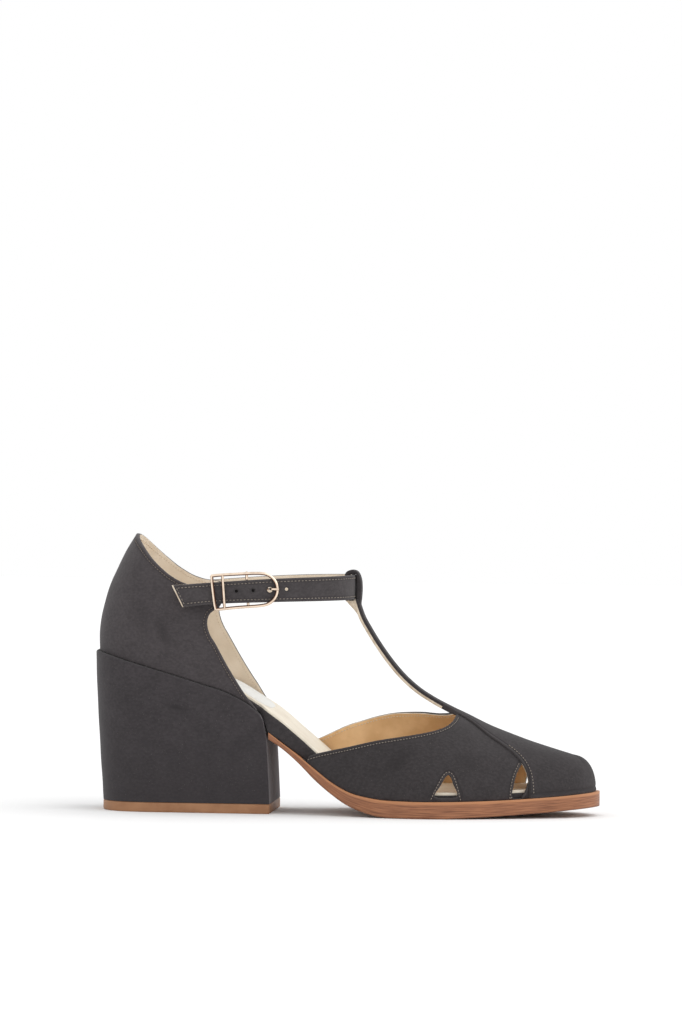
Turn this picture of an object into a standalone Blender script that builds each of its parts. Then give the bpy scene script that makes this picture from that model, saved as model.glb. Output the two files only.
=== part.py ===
"""T-strap shoe on a block heel, the right shoe of a pair.

The frame: +X to the toe, +Y to the inner side of the foot, +Z up. The origin is on the floor,
under the middle of the heel. Tables and sizes are in millimetres, and each mesh is made in metres.
"""

import bmesh
import bpy
import numpy as np

MM = 0.001
GAP = 0.3

# Driving sizes of the shoe
UPPER_WALL = 1.6
OVERLAY_RISE = 1.0
OVERLAY_SINK = 0.8
TBAR_THICK = 2.5
COUNTER_WALL = 1.8
HEEL_TIP_THICK = 4.5
BOARD_CLEAR = UPPER_WALL + 0.8
SOCK_THICK = 1.0
SOCK_INSET = 0.9
SOLE_FROM = 40.6
STRAP_THICK = 2.2
TAB_THICK = 1.5
TAB_END_THICK = 0.5
BUCKLE_WIRE = 0.75
PRONG_WIRE = 0.6
STRAP_HOLE = 1.1
PRONG_HOLE = 1.5
HOLE_PITCH = 8.0
HOLE_RISE = 0.4

# The toe: from FAN on, the plan closes to a soft square end at TIP, and the ridge ends at POLE
FAN = 168.0
TIP = 194.7
POLE = 184.0
TOE_CENTRE = 3.3
TOE_SQUARE = 4.0
SPAN = (TIP - FAN) * np.pi / 2
TOE_END = FAN + SPAN


def table(names, *rows):
    """Columns by name from rows of numbers."""
    return dict(zip(names.split(), np.array(rows, float).T))


# Top of the outsole, where the upper is lasted under, along the shoe
SEAT_LINE = table(
    "x z",
    (39, 40.2),
    (47, 34.2),
    (55, 28.4),
    (63, 22.3),
    (71, 16.4),
    (79, 12.1),
    (92, 9.0),
    (108, 8.1),
    (125, 8.1),
    (150, 8.7),
    (175, 10.1),
    (198, 11.9),
)

# Underside of the outsole: it is flat on the floor between FLAT_FROM and FLAT_TO
FLAT_FROM = 100.0
FLAT_TO = 124.0
SOLE_UNDER = table(
    "x z",
    (39, 36.6),
    (47, 31.4),
    (55, 24.8),
    (63, 17.1),
    (71, 10.7),
    (79, 5.6),
    (87, 2.4),
    (94, 0.7),
    (FLAT_FROM, 0),
    (FLAT_TO, 0),
    (135, 0.4),
    (152, 1.3),
    (174, 2.9),
    (198, 4.8),
)

# Half-widths of the last at its feather edge, outer (lateral) and inner (medial) side
LAST_WIDTH = table(
    "x lateral medial",
    (36, 24.8, 23.4),
    (46, 24.9, 22.6),
    (58, 26.6, 23.2),
    (70, 29.8, 25.8),
    (85, 34.6, 30.4),
    (100, 38.0, 34.4),
    (112, 39.2, 36.6),
    (125, 38.2, 37.2),
    (140, 34.4, 35.4),
    (155, 28.9, 31.8),
    (168, 23.4, 27.8),
    (180, 18.3, 23.8),
    (TIP, 12.0, 18.6),
)

# How far the sole stands out past the last
SOLE_MARGIN = table("x out", (39, 0.3), (60, 1.0), (90, 1.6), (125, 1.9), (198, 2.6))
SOLE_TIP_MARGIN = 2.8

# Crest of the upper: up the toe and instep, then up the T-bar. side and crown round the section
CREST = table(
    "x z y side crown",
    (46, 158, 0, 1.05, 1.0),
    (70, 126, 0, 1.05, 1.0),
    (79.6, 104, 0, 1.05, 1.0),
    (82.7, 95, 0, 1.05, 1.0),
    (86.3, 88.4, 0, 1.05, 1.0),
    (93.7, 77.0, 0, 1.05, 1.0),
    (101.6, 67.2, 0, 1.05, 1.0),
    (109.5, 60.0, 0, 1.05, 1.0),
    (117.4, 54.9, 0, 1.05, 1.0),
    (125.3, 50.8, 0.3, 1.02, 0.99),
    (132, 47.7, 0.5, 1.0, 0.98),
    (145, 41.6, 1.2, 0.95, 0.97),
    (160, 35.8, 2.0, 0.88, 0.93),
    (172, 31.8, 2.6, 0.82, 0.89),
    (POLE, 28.3, 3.2, 0.75, 0.85),
)
CREST_SWEEP_FROM = 125.0
CREST_SWEEP_OVER = 30.0

# Half-width of the raised toe piece, which narrows up into the T-bar
TBAR_TOP = 80.0
OVERLAY_WIDTH = table(
    "along half", (TBAR_TOP, 4.1), (100, 4.2), (118, 4.6), (125, 5.2), (130, 6.2)
)
# From the throat on, the toe piece's edge as a share of the section, 0 at the crest and 1 at the sole
OVERLAY_EDGE = table(
    "along share",
    (130, 0.12),
    (136, 0.165),
    (146, 0.30),
    (153, 0.385),
    (158, 0.47),
    (161, 0.55),
    (163.2, 0.64),
    (164.6, 0.74),
    (165.4, 0.86),
    (165.8, 0.99),
)

# Toplines of the front upper in side view
TOPLINE_LATERAL = table(
    "x z",
    (54, 25.4),
    (58, 27.4),
    (65, 29.8),
    (78.4, 33.0),
    (94, 36.8),
    (108.8, 39.2),
    (118, 40.9),
    (123.5, 42.5),
    (126.8, 44.3),
    (128.9, 47.4),
    (129.8, 56),
)
TOPLINE_MEDIAL = table(
    "x z",
    (48, 29.6),
    (54, 31.6),
    (60.4, 33.9),
    (73, 39.9),
    (80.8, 42.5),
    (88.5, 44.9),
    (96.3, 46.6),
    (104.1, 47.3),
    (111.8, 47.6),
    (119, 47.3),
    (126, 48.2),
    (129.4, 51),
    (130.2, 58),
)

# Cut-outs in side view: a rounded triangle, and a leaf against the toe piece's edge
TRIANGLE = (
    (121.9, 10.6),
    (132.0, 10.6),
    (130.4, 16.4),
    (128.7, 20.4),
    (127.0, 20.4),
    (124.4, 16.0),
)
LEAF = (
    (157.9, 10.4),
    (158.2, 14.6),
    (159.4, 20.4),
    (161.6, 25.6),
    (163.2, 26.4),
    (164.9, 22.2),
    (164.9, 17.2),
    (162.4, 10.4),
)
TRIANGLE_FROM = 26.0
LEAF_FROM = 12.0
# How far forward the inner side's cut-outs lie: through the outer ones the photo shows lining
TRIANGLE_FORWARD = 5.0
LEAF_FORWARD = 2.6
CUT_TO = 55.0

# Top of the heel block in side view, from the back ledge to the breast
HEEL_TOP = table(
    "x z",
    (-47, 77.0),
    (-31, 72.8),
    (-12, 67.5),
    (7, 61.8),
    (22.5, 56.6),
    (32, 51.2),
    (36.2, 47.6),
)
HEEL_BREAST_ROUND = ((36.2, 47.6), (37.6, 45.0), (38.6, 41.2), (39.4, 37.0), (39.9, 30.0))
# Block heel: back edge, breast and half-width by height
HEEL_BODY = table(
    "z back breast half",
    (HEEL_TIP_THICK + GAP, -41.2, 41.4, 25.2),
    (20, -42.3, 40.6, 25.4),
    (39, -43.5, 40.0, 25.7),
    (58, -44.7, 40.0, 25.9),
    (79, -45.4, 40.0, 26.0),
)
HEEL_ROUND = 27.0
HEEL_SQUARE = 2.5
HEEL_CORNER = 1.2

# Rear upper: back line, half-width and length of its round part by height above the heel's top
COUNTER = table(
    "h back half round",
    (GAP, -43.8, 24.1, 27),
    (9, -43.9, 24.5, 27),
    (17, -43.1, 24.6, 27),
    (25, -41.3, 24.4, 26),
    (34, -38.7, 24.0, 25),
    (43, -35.1, 23.5, 24),
    (52, -31.2, 23.1, 23),
    (63, -25.5, 22.6, 22),
)
COUNTER_SQUARE = 2.15
COUNTER_FRONT = 38.0
# Each side's topline, from the peak at the back to under the strap, then its front edge down to the heel
COUNTER_EDGE_LATERAL = (
    (-27.6, 134.6),
    (-26.4, 132.3),
    (-22.6, 127.7),
    (-17.5, 121.9),
    (-12.5, 117.2),
    (-7.0, 112.9),
    (-1.0, 109.8),
    (6.0, 107.9),
    (13.0, 107.2),
    (17.0, 106.0),
    (17.0, 99.6),
    (14.0, 97.0),
    (11.6, 94.9),
    (10.6, 91.6),
    (10.9, 88.2),
    (12.4, 84.4),
    (14.9, 80.6),
    (19.8, 71.6),
    (24.2, 64.4),
    (28.1, 58.3),
    (32.0, 53.1),
    (35.4, 48.9),
    (37.0, 45.0),
)
COUNTER_EDGE_MEDIAL = (
    (-27.6, 134.6),
    (-26.4, 132.5),
    (-21.0, 126.6),
    (-17.1, 122.9),
    (-13.1, 119.5),
    (-9.2, 116.5),
    (-5.3, 114.0),
    (-1.3, 111.9),
    (4.0, 110.2),
    (10.0, 109.4),
    (13.4, 107.4),
    (12.6, 100.6),
    (10.9, 96.4),
    (11.6, 91.6),
    (13.4, 87.2),
    (15.6, 83.4),
    (21.6, 73.0),
    (26.6, 65.0),
    (30.4, 59.4),
    (33.4, 54.6),
    (36.2, 50.4),
    (37.4, 46.0),
)

# Insole board: its upper face in side view, and its half-widths where it is bare at the waist
BOARD_TOP = table(
    "x z",
    (-44, 79.2),
    (-31, 75.6),
    (-12, 70.2),
    (7, 64.4),
    (22.5, 59.4),
    (31.8, 53.9),
    (39.5, 49.0),
    (47.3, 43.3),
    (55, 36.9),
    (63, 30.0),
    (71, 23.0),
    (80, 17.0),
    (92, 12.7),
    (108, 11.2),
    (125, 11.1),
    (150, 11.7),
    (175, 13.1),
    (198, 14.9),
)
BOARD_WAIST = table(
    "x lateral medial",
    (36.4, 21.6, 21.6),
    (39.2, 24.4, 22.9),
    (46, 24.6, 22.3),
    (50, 24.6, 20.6),
    (54.5, 24.3, 20.4),
    (58, 24.0, 20.6),
)
BOARD_BACK = -41.4
BOARD_ROUND = 25.0
BOARD_REAR_HALF = 21.6

# Ankle strap: straight beside the heel, round in front of the ankle, its middle line in plan
STRAP_FRONT = 78.5
STRAP_BEND_FROM = 28.0
STRAP_SIDE_LATERAL = 27.3
STRAP_SIDE_MEDIAL = 25.6
STRAP_POWER = 2.4
STRAP_RISE = table(
    "run middle half",
    (-8, 103.1, 5.2),
    (13, 105.1, 5.2),
    (43, 106.9, 5.6),
    (78, 108.1, 5.9),
)
# Corners of the strap's section, as shares of half its thickness and half its width
STRAP_SECTION = (
    (-1, -0.88),
    (-0.6, -1),
    (0.6, -1),
    (1, -0.88),
    (1, 0.88),
    (0.6, 1),
    (-0.6, 1),
    (-1, 0.88),
)
STRAP_TAIL = -3.6
STRAP_TAIL_SLANT = -0.49
STRAP_MEDIAL_END = -9.0
PRONG_AT = 40.9

# Loop of the T-bar over the strap, in side view
LOOP = (
    (74.4, 103.0),
    (74.2, 112.4),
    (75.1, 115.4),
    (78.0, 116.4),
    (80.7, 115.3),
    (82.2, 111.8),
    (82.6, 107.5),
    (82.4, 103.0),
    (82.2, 99.0),
    (84.2, 93.0),
    (82.6, 92.8),
    (78.8, 97.4),
    (76.0, 100.4),
)
LOOP_HOLE = ((76.7, 101.9), (76.7, 114.3), (79.95, 114.3), (79.95, 101.9))
LOOP_HALF = 4.1

# Buckle frame in side view, its keeper bar and its hidden bar under the strap
BUCKLE_Y = -29.5
BUCKLE_TURN = 0.03
FRAME_LINE = (
    (15.2, 98.2),
    (14.0, 105.6),
    (13.3, 112.6),
    (14.2, 113.6),
    (25.0, 114.5),
    (36.0, 115.0),
    (40.6, 114.0),
    (43.6, 111.2),
    (44.6, 107.6),
    (43.8, 104.0),
    (41.2, 101.1),
    (37.0, 99.7),
    (26.0, 98.7),
    (16.6, 97.7),
)
KEEPER_BAR = ((18.3, 113.9), (19.5, 98.1))
HIDDEN_BAR = ((29.4, 114.8), (30.3, 99.1))
HIDDEN_BAR_Y = -24.9
PRONG_LINE = (
    (31.2, -24.3),
    (35.0, -24.0),
    (38.6, -24.4),
    (40.6, -26.2),
    (41.4, -28.4),
    (42.8, -30.0),
    (45.6, -30.4),
)
PRONG_HEIGHT = 107.6
TAB_FROM = 4.0
TAB_TO = 28.6
TAB_HALF = 4.2
TAB_HEIGHT = 104.8
TAB_INNER = -24.3

# Finishes: colour, roughness, metallic
FINISHES = {
    "nubuck": ((0.052, 0.047, 0.049), 0.92, 0.0),
    "sole_edge": ((0.30, 0.145, 0.082), 0.5, 0.0),
    "tip_leather": ((0.32, 0.18, 0.085), 0.55, 0.0),
    "sock_leather": ((0.72, 0.62, 0.46), 0.6, 0.0),
    "rose_gold": ((0.76, 0.52, 0.38), 0.22, 1.0),
}


def clear_scene():
    """Removes what the scene holds."""
    for old in list(bpy.data.objects):
        bpy.data.objects.remove(old, do_unlink=True)


def finish(name, label):
    """A material of its own for one piece."""
    colour, roughness, metallic = FINISHES[label]
    material = bpy.data.materials.new(f"{name}_{label}")
    material.use_nodes = True
    shader = material.node_tree.nodes["Principled BSDF"]
    shader.inputs["Base Color"].default_value = (*colour, 1.0)
    shader.inputs["Roughness"].default_value = roughness
    shader.inputs["Metallic"].default_value = metallic
    material.diffuse_color = (*colour, 1.0)
    return material


def make_piece(name, points, faces, label=None):
    """An object from points in millimetres. Without a finish it is a cutter or a helper."""
    mesh = bpy.data.meshes.new(name)
    mesh.from_pydata((np.asarray(points) * MM).tolist(), [], [list(map(int, f)) for f in faces])
    shape = bmesh.new()
    shape.from_mesh(mesh)
    bmesh.ops.remove_doubles(shape, verts=shape.verts, dist=0.00002)
    bmesh.ops.dissolve_degenerate(shape, edges=shape.edges, dist=0.00001)
    bmesh.ops.triangulate(shape, faces=[f for f in shape.faces if len(f.verts) == 4])
    bmesh.ops.recalc_face_normals(shape, faces=shape.faces)
    shape.to_mesh(mesh)
    shape.free()
    piece = bpy.data.objects.new(name, mesh)
    bpy.context.scene.collection.objects.link(piece)
    if label is None:
        piece.hide_render = True
        piece.display_type = "WIRE"
    else:
        mesh.materials.append(finish(name, label))
        mesh.shade_smooth()
        mesh.set_sharp_from_angle(angle=np.radians(35))
    return piece


def boolean(target, tool, operation):
    """Cuts, joins or trims target with tool."""
    change = target.modifiers.new(f"{operation.lower()} {tool.name}", "BOOLEAN")
    change.operation = operation
    change.solver = "EXACT"
    change.object = tool
    tool.hide_render = True
    tool.display_type = "WIRE"


def smooth(xs, ys, at):
    """A curve through the points: cubic pieces whose slopes agree where they meet."""
    at = np.clip(np.asarray(at, float), xs[0], xs[-1])
    step = np.diff(xs)
    rise = np.diff(ys) / step
    slope = np.empty(len(xs))
    slope[0], slope[-1] = rise[0], rise[-1]
    slope[1:-1] = (rise[:-1] * step[1:] + rise[1:] * step[:-1]) / (step[:-1] + step[1:])
    k = np.clip(np.searchsorted(xs, at, side="right") - 1, 0, len(xs) - 2)
    u = (at - xs[k]) / step[k]
    start = (1 + 2 * u) * (1 - u) ** 2 * ys[k] + u * (1 - u) ** 2 * step[k] * slope[k]
    end = u * u * (3 - 2 * u) * ys[k + 1] + u * u * (u - 1) * step[k] * slope[k + 1]
    return start + end


def read(sizes, column, at):
    """A column of a table as a smooth curve of its first column."""
    first = next(iter(sizes))
    return smooth(sizes[first], sizes[column], at)


def rounded(corners, steps, closed=False):
    """A curve through corner points, with some points between each two."""
    corners = np.asarray(corners, float)
    if closed:
        ring = np.vstack([corners[-1], corners, corners[:2]])
    else:
        ring = np.vstack([2 * corners[0] - corners[1], corners, 2 * corners[-1] - corners[-2]])
    u = np.arange(steps)[:, None] / steps
    runs = []
    for a, b, c, d in zip(ring, ring[1:], ring[2:], ring[3:]):
        runs.append(
            b
            + (c - a) * u / 2
            + (2 * a - 5 * b + 4 * c - d) * u**2 / 2
            + (3 * b - a - 3 * c + d) * u**3 / 2
        )
    curve = np.vstack(runs)
    return curve if closed else np.vstack([curve, corners[-1]])


def grid_faces(rows, columns, start=0, flip=False):
    """Quads between the points of a grid."""
    r, c = np.meshgrid(np.arange(rows - 1), np.arange(columns - 1), indexing="ij")
    a = (start + r * columns + c).ravel()
    quads = np.stack([a, a + columns, a + columns + 1, a + 1], 1)
    return quads[:, ::-1] if flip else quads


def shell(outer, inner, closed_end=False):
    """Points and faces of a wall between two grids. closed_end leaves the last row to close on itself."""
    rows, columns = outer.shape[:2]
    count = rows * columns
    index = np.arange(count).reshape(rows, columns)
    faces = list(grid_faces(rows, columns)) + list(grid_faces(rows, columns, count, flip=True))
    rims = [index[:, 0], index[0, ::-1], index[::-1, -1]]
    if not closed_end:
        rims.append(index[-1, :])
    for rim in rims:
        faces += [(a, b, b + count, a + count) for a, b in zip(rim[:-1], rim[1:])]
    return np.vstack([outer.reshape(-1, 3), inner.reshape(-1, 3)]), faces


def loft(rings):
    """Points and faces of a solid through closed rings, with a flat cap at each end."""
    rings = np.asarray(rings)
    rows, columns = rings.shape[:2]
    index = np.arange(rows * columns).reshape(rows, columns)
    faces = []
    for a, b in zip(index[:-1], index[1:]):
        faces += [(a[i - 1], a[i], b[i], b[i - 1]) for i in range(columns)]
    faces += [tuple(index[0]), tuple(index[-1][::-1])]
    return rings.reshape(-1, 3), faces


def prism(name, outline, y_from, y_to):
    """A cutter: an outline in side view, carried straight across the shoe."""
    outline = np.asarray(outline, float)
    rings = [np.insert(outline, 1, y, axis=1) for y in (y_from, y_to)]
    return make_piece(name, *loft(rings))


def tube(line, radius, sides=8, closed=False):
    """Points and faces of a round wire along a line. Its section turns with the line, without twist."""
    line = np.asarray(line, float)
    if closed:
        heading = np.roll(line, -1, 0) - np.roll(line, 1, 0)
    else:
        heading = np.gradient(line, axis=0)
    heading /= np.linalg.norm(heading, axis=1)[:, None]
    side = np.cross(heading, (0.0, 1.0, 0.0))
    small = np.linalg.norm(side, axis=1) < 0.2
    side[small] = np.cross(heading[small], (0.0, 0.0, 1.0))
    side /= np.linalg.norm(side, axis=1)[:, None]
    other = np.cross(heading, side)
    turn = np.arange(sides) * 2 * np.pi / sides
    rings = line[:, None] + radius * (
        np.cos(turn)[None, :, None] * side[:, None] + np.sin(turn)[None, :, None] * other[:, None]
    )
    if not closed:
        return loft(rings)
    points, faces = loft(np.concatenate([rings, rings[:1]]))
    return points, faces[:-2]


def toe_fade(x, tip):
    """1 back of the fan, then down to 0 at the tip, along a soft square end."""
    u = np.clip((np.asarray(x, float) - FAN) / (tip - FAN), 0, 1)
    return np.sqrt(1 - u**TOE_SQUARE)


def outline_y(x, side, out=0.0, tip=TIP):
    """Plan outline of the last on one side, -1 lateral or 1 medial, grown by out."""
    half = read(LAST_WIDTH, "lateral" if side < 0 else "medial", x)
    reach = side * (half + out)
    return np.where(x < FAN, reach, TOE_CENTRE + (reach - TOE_CENTRE) * toe_fade(x, tip))


def last_surface(along, share):
    """The upper's outer face. along runs up the shoe, share from -1, the lateral sole edge, over 0, the
    crest, to 1. A section is a superellipse from the outline's point to the crest's, and in the toe
    the sections fan out, so that the last of them stands on the shoe's end."""
    along, share = np.broadcast_arrays(np.asarray(along, float), np.asarray(share, float))
    u = np.clip((along - FAN) / SPAN, 0, 1)
    foot_x = np.where(along < FAN, along, FAN + (TIP - FAN) * np.sin(u * np.pi / 2))
    crest_x = np.where(along < FAN, along, FAN + (POLE - FAN) * (1 - (1 - u) ** (SPAN / (POLE - FAN))))
    top_z = read(CREST, "z", crest_x)
    slope = read(CREST, "z", crest_x + 0.5) - read(CREST, "z", crest_x - 0.5)
    slope *= np.clip((crest_x - CREST_SWEEP_FROM) / CREST_SWEEP_OVER, 0, 1)
    foot_y = np.where(share < 0, outline_y(foot_x, -1), outline_y(foot_x, 1))
    turn = (1 - np.abs(share)) * np.pi / 2
    out = np.cos(turn) ** read(CREST, "side", crest_x)
    up = np.sin(turn) ** read(CREST, "crown", crest_x)
    crest_y = read(CREST, "y", crest_x)
    x = crest_x + (foot_x - crest_x) * out
    y = crest_y + (foot_y - crest_y) * out
    foot_z = read(SEAT_LINE, "z", foot_x) + GAP
    z = foot_z * (1 - up) + (top_z + slope * (x - crest_x)) * up
    return np.stack([x, y, z], -1)


def last_normal(along, share):
    """Unit normal of last_surface, out of the shoe, from small steps along its two parameters."""
    along, share = np.broadcast_arrays(np.asarray(along, float), np.asarray(share, float))
    a = np.clip(along, None, TOE_END - 0.06)
    s = np.clip(share, -0.995, 0.995)
    run = last_surface(a + 0.05, s) - last_surface(a - 0.05, s)
    across = last_surface(a, s + 0.004) - last_surface(a, s - 0.004)
    normal = np.cross(run, across)
    return normal / np.linalg.norm(normal, axis=-1, keepdims=True)


def upper_wall(along, share, outward, inward, foot_lift=0.0):
    """Outer and inner grids, offset from last_surface, that end level over the sole."""
    surface = last_surface(along, share)
    normal = last_normal(along, share)
    grids = []
    for distance in (outward, -inward):
        grid = surface + distance * normal
        for column in (0, -1):
            rim = np.abs(share[:, column]) > 0.98
            seat = read(SEAT_LINE, "z", grid[:, column, 0]) + GAP + foot_lift
            grid[rim, column, 2] = seat[rim]
        grid[-1] = (grid[-1] + grid[-1, ::-1]) / 2
        grids.append(grid)
    return grids


def overlay_share(along):
    """Edge of the toe piece and T-bar as a share of the section."""
    half = read(OVERLAY_WIDTH, "half", along)
    reach = np.minimum(-outline_y(along, -1), outline_y(along, 1))
    narrow = 2 / np.pi * np.arcsin(np.clip(half / reach, 0, 1))
    wide = read(OVERLAY_EDGE, "share", along)
    blend = np.clip((along - 126) / 4, 0, 1)
    return narrow * (1 - blend) + wide * blend


def throat(name, line, side):
    """Cutter for all that lies above one topline."""
    edge = rounded(np.stack([line["x"], line["z"]], 1), 3)
    high, past, (start_x, start_z) = 175.0, 14.0, edge[0]
    rest = [(edge[-1, 0] + 2, high), (start_x - past, high), (start_x - past, start_z - 1)]
    near, far = sorted((-side * GAP, side * CUT_TO))
    return prism(name, np.vstack([edge, rest]), near, far)


def vamp():
    """Front upper: a wall with the toe piece and T-bar raised on it, cut-outs, and the strap's loop."""
    toe = FAN + SPAN * np.arange(1, 11) / 10
    along = np.concatenate([np.arange(46, 126, 6.5), np.linspace(127, FAN, 15), toe])
    even = np.linspace(-1, 1, 27)
    share = (even + np.sin(even * np.pi / 2)) / 2
    across, up = np.meshgrid(along, share, indexing="ij")
    wall = make_piece(
        "vamp", *shell(*upper_wall(across, up, 0.0, UPPER_WALL), closed_end=True), label="nubuck"
    )
    for side, line, label in ((-1, TOPLINE_LATERAL, "lateral"), (1, TOPLINE_MEDIAL, "medial")):
        boolean(wall, throat(f"throat_{label}", line, side), "DIFFERENCE")

    bar = np.linspace(TBAR_TOP, 128, 17)
    along = np.concatenate([bar, np.linspace(131, 160, 10), np.linspace(161.5, 166, 7), [FAN], toe])
    edge = overlay_share(along)
    across = np.repeat(along[:, None], 15, axis=1)
    up = edge[:, None] * np.linspace(-1, 1, 15)[None]
    sink = np.where(along < 126, TBAR_THICK - OVERLAY_RISE, OVERLAY_SINK)[:, None, None]
    toe_piece = make_piece(
        "toe_piece", *shell(*upper_wall(across, up, OVERLAY_RISE, sink, foot_lift=0.2), closed_end=True)
    )
    boolean(wall, toe_piece, "UNION")

    loop = prism("strap_loop", rounded(LOOP, 3, closed=True), -LOOP_HALF, LOOP_HALF)
    boolean(wall, loop, "UNION")
    boolean(wall, prism("strap_way", LOOP_HOLE, -LOOP_HALF - 2, LOOP_HALF + 2), "DIFFERENCE")
    for label, corners, reach, forward in (
        ("triangle", TRIANGLE, TRIANGLE_FROM, TRIANGLE_FORWARD),
        ("leaf", LEAF, LEAF_FROM, LEAF_FORWARD),
    ):
        hole = np.array(rounded(corners, 3, closed=True))
        boolean(wall, prism(f"{label}_lateral", hole, -CUT_TO, -reach), "DIFFERENCE")
        boolean(wall, prism(f"{label}_medial", hole + (forward, 0), reach, CUT_TO), "DIFFERENCE")
    return wall


def horseshoe(back, front, half, round_length, power, around=15, straight=6):
    """Plan points of a U: up one side, round the back and down the other, as x and y rows."""
    turn = np.linspace(0, np.pi / 2, around)
    x = back + round_length * (1 - np.cos(turn) ** (2 / power))
    y = half * np.sin(turn) ** (2 / power)
    run = np.linspace(back + round_length, front, straight + 1)[1:]
    x = np.concatenate([x, run])
    y = np.concatenate([y, np.full(straight, half)])
    return np.concatenate([x[::-1], x[1:]]), np.concatenate([-y[::-1], y[1:]])


def heel_ring(z):
    """Plan ring of the block heel at a height, with small corners at the breast."""
    back = read(HEEL_BODY, "back", z)
    breast = read(HEEL_BODY, "breast", z)
    half = read(HEEL_BODY, "half", z)
    x, y = horseshoe(back, breast - HEEL_CORNER, half, HEEL_ROUND, HEEL_SQUARE, around=12, straight=3)
    x = np.concatenate([[breast], x, [breast]])
    y = np.concatenate([[-half + HEEL_CORNER], y, [half - HEEL_CORNER]])
    return np.stack([x, y, np.full(len(x), float(z))], 1)


def heel_block():
    """Covered block: its plan rings, trimmed to the slanted top."""
    levels = HEEL_BODY["z"]
    block = make_piece("heel_block", *loft([heel_ring(z) for z in levels]), label="nubuck")
    ramp = rounded(np.stack([HEEL_TOP["x"], HEEL_TOP["z"]], 1), 2)
    nose = rounded(HEEL_BREAST_ROUND, 3)[1:]
    above = np.vstack([ramp, nose, [(60, 30), (60, 100), (-60, 100), (-60, HEEL_TOP["z"][0] + 3.4)]])
    boolean(block, prism("heel_ramp", above, -40.0, 40.0), "DIFFERENCE")
    return block


def heel_tip():
    """Top piece under the heel, a flat slab of the heel's own outline."""
    ring = heel_ring(HEEL_BODY["z"][0])
    rings = [ring * (1, 1, 0) + (0, 0, z) for z in (0.0, HEEL_TIP_THICK)]
    return make_piece("heel_tip", *loft(rings), label="tip_leather")


def slab_ring(x, lateral, medial, under, over, edge):
    """Section of a slab across the shoe, with a small round at each of its four corners."""
    edge = min(edge, (over - under) / 2.5, (medial - lateral) / 4)
    half_round = 0.3 * edge
    corners = (
        (lateral, under + edge),
        (lateral + half_round, under + half_round),
        (lateral + edge, under),
        (0.5 * (lateral + medial), under),
        (medial - edge, under),
        (medial - half_round, under + half_round),
        (medial, under + edge),
        (medial, over - edge),
        (medial - half_round, over - half_round),
        (medial - edge, over),
        (0.5 * (lateral + medial), over),
        (lateral + edge, over),
        (lateral + half_round, over - half_round),
        (lateral, over - edge),
    )
    return [(x, y, z) for y, z in corners]


def toe_stations(tip, count):
    """Stations that crowd towards the tip, where the outline turns across."""
    turn = np.arange(1, count + 1) / (count + 0.35)
    return FAN + (tip - FAN) * np.sin(turn * np.pi / 2)


def outsole():
    """Sole from the heel breast to the toe, flat on the floor under the ball."""
    tip = TIP + SOLE_TIP_MARGIN
    flat = np.linspace(FLAT_FROM, FLAT_TO, 4)
    stations = np.concatenate(
        [np.arange(SOLE_FROM, 96, 4.6), flat, np.arange(131, FAN, 8), toe_stations(tip, 9)]
    )
    rings = []
    for x in stations:
        out = read(SOLE_MARGIN, "out", x)
        lateral, medial = (float(outline_y(x, side, out, tip)) for side in (-1, 1))
        under, over = (float(read(line, "z", x)) for line in (SOLE_UNDER, SEAT_LINE))
        under = 0.0 if FLAT_FROM <= x <= FLAT_TO else max(under, 0.0)
        rings.append(slab_ring(x, lateral, medial, under, over, 0.8))
    return make_piece("outsole", *loft(rings), label="sole_edge")


def board_under(x):
    """Underside of the insole board: on the heel block, then round its front edge onto the sole."""
    on_heel = read(HEEL_TOP, "z", x) + 0.4
    on_sole = read(SEAT_LINE, "z", x) + GAP
    blend = np.clip((x - 36.4) / 3.6, 0, 1)
    return on_heel * (1 - blend) + on_sole * blend


def board_edges(x, inset=0.0):
    """Lateral and medial edge of the insole board at x, drawn in by inset."""
    tip = TIP - BOARD_CLEAR - inset
    if x >= BOARD_WAIST["x"][-1]:
        return tuple(float(outline_y(x, side, -BOARD_CLEAR - inset, tip)) for side in (-1, 1))
    if x >= BOARD_WAIST["x"][0]:
        lateral, medial = (float(read(BOARD_WAIST, side, x)) for side in ("lateral", "medial"))
        return inset - lateral, medial - inset
    u = np.clip((x - BOARD_BACK - inset) / BOARD_ROUND, 0, 1)
    half = (BOARD_REAR_HALF - inset) * (1 - (1 - u) ** COUNTER_SQUARE) ** (1 / COUNTER_SQUARE)
    return -float(half), float(half)


def board_stations(inset=0.0):
    """Stations of the insole from the heel's round back to the toe."""
    turn = np.arange(1, 9) / 8.0
    rear = BOARD_BACK + inset + BOARD_ROUND * (1 - np.cos(turn * np.pi / 2)) + 0.05
    seat = np.linspace(-8, 34, 6)
    flare = np.array([36.2, 37.6, 39.0, 40.2])
    waist = np.linspace(44, 70, 8)
    toe = toe_stations(TIP - BOARD_CLEAR - inset, 8)
    return np.concatenate([rear, seat, flare, waist, np.arange(76, FAN, 7.6), toe])


def insole_board():
    """Arched insole whose wrapped edge shows at the waist."""
    rings = []
    for x in board_stations():
        lateral, medial = board_edges(x)
        under, over = float(board_under(x)), float(read(BOARD_TOP, "z", x))
        rings.append(slab_ring(x, lateral, medial, under, over, 1.1))
    return make_piece("insole_board", *loft(rings), label="nubuck")


def insole_sock():
    """Leather sock on the insole."""
    rings = []
    for x in board_stations(SOCK_INSET):
        lateral, medial = board_edges(x, SOCK_INSET)
        under = float(read(BOARD_TOP, "z", x)) + GAP
        rings.append(slab_ring(x, lateral, medial, under, under + SOCK_THICK, 0.4))
    return make_piece("insole_sock", *loft(rings), label="sock_leather")


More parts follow.
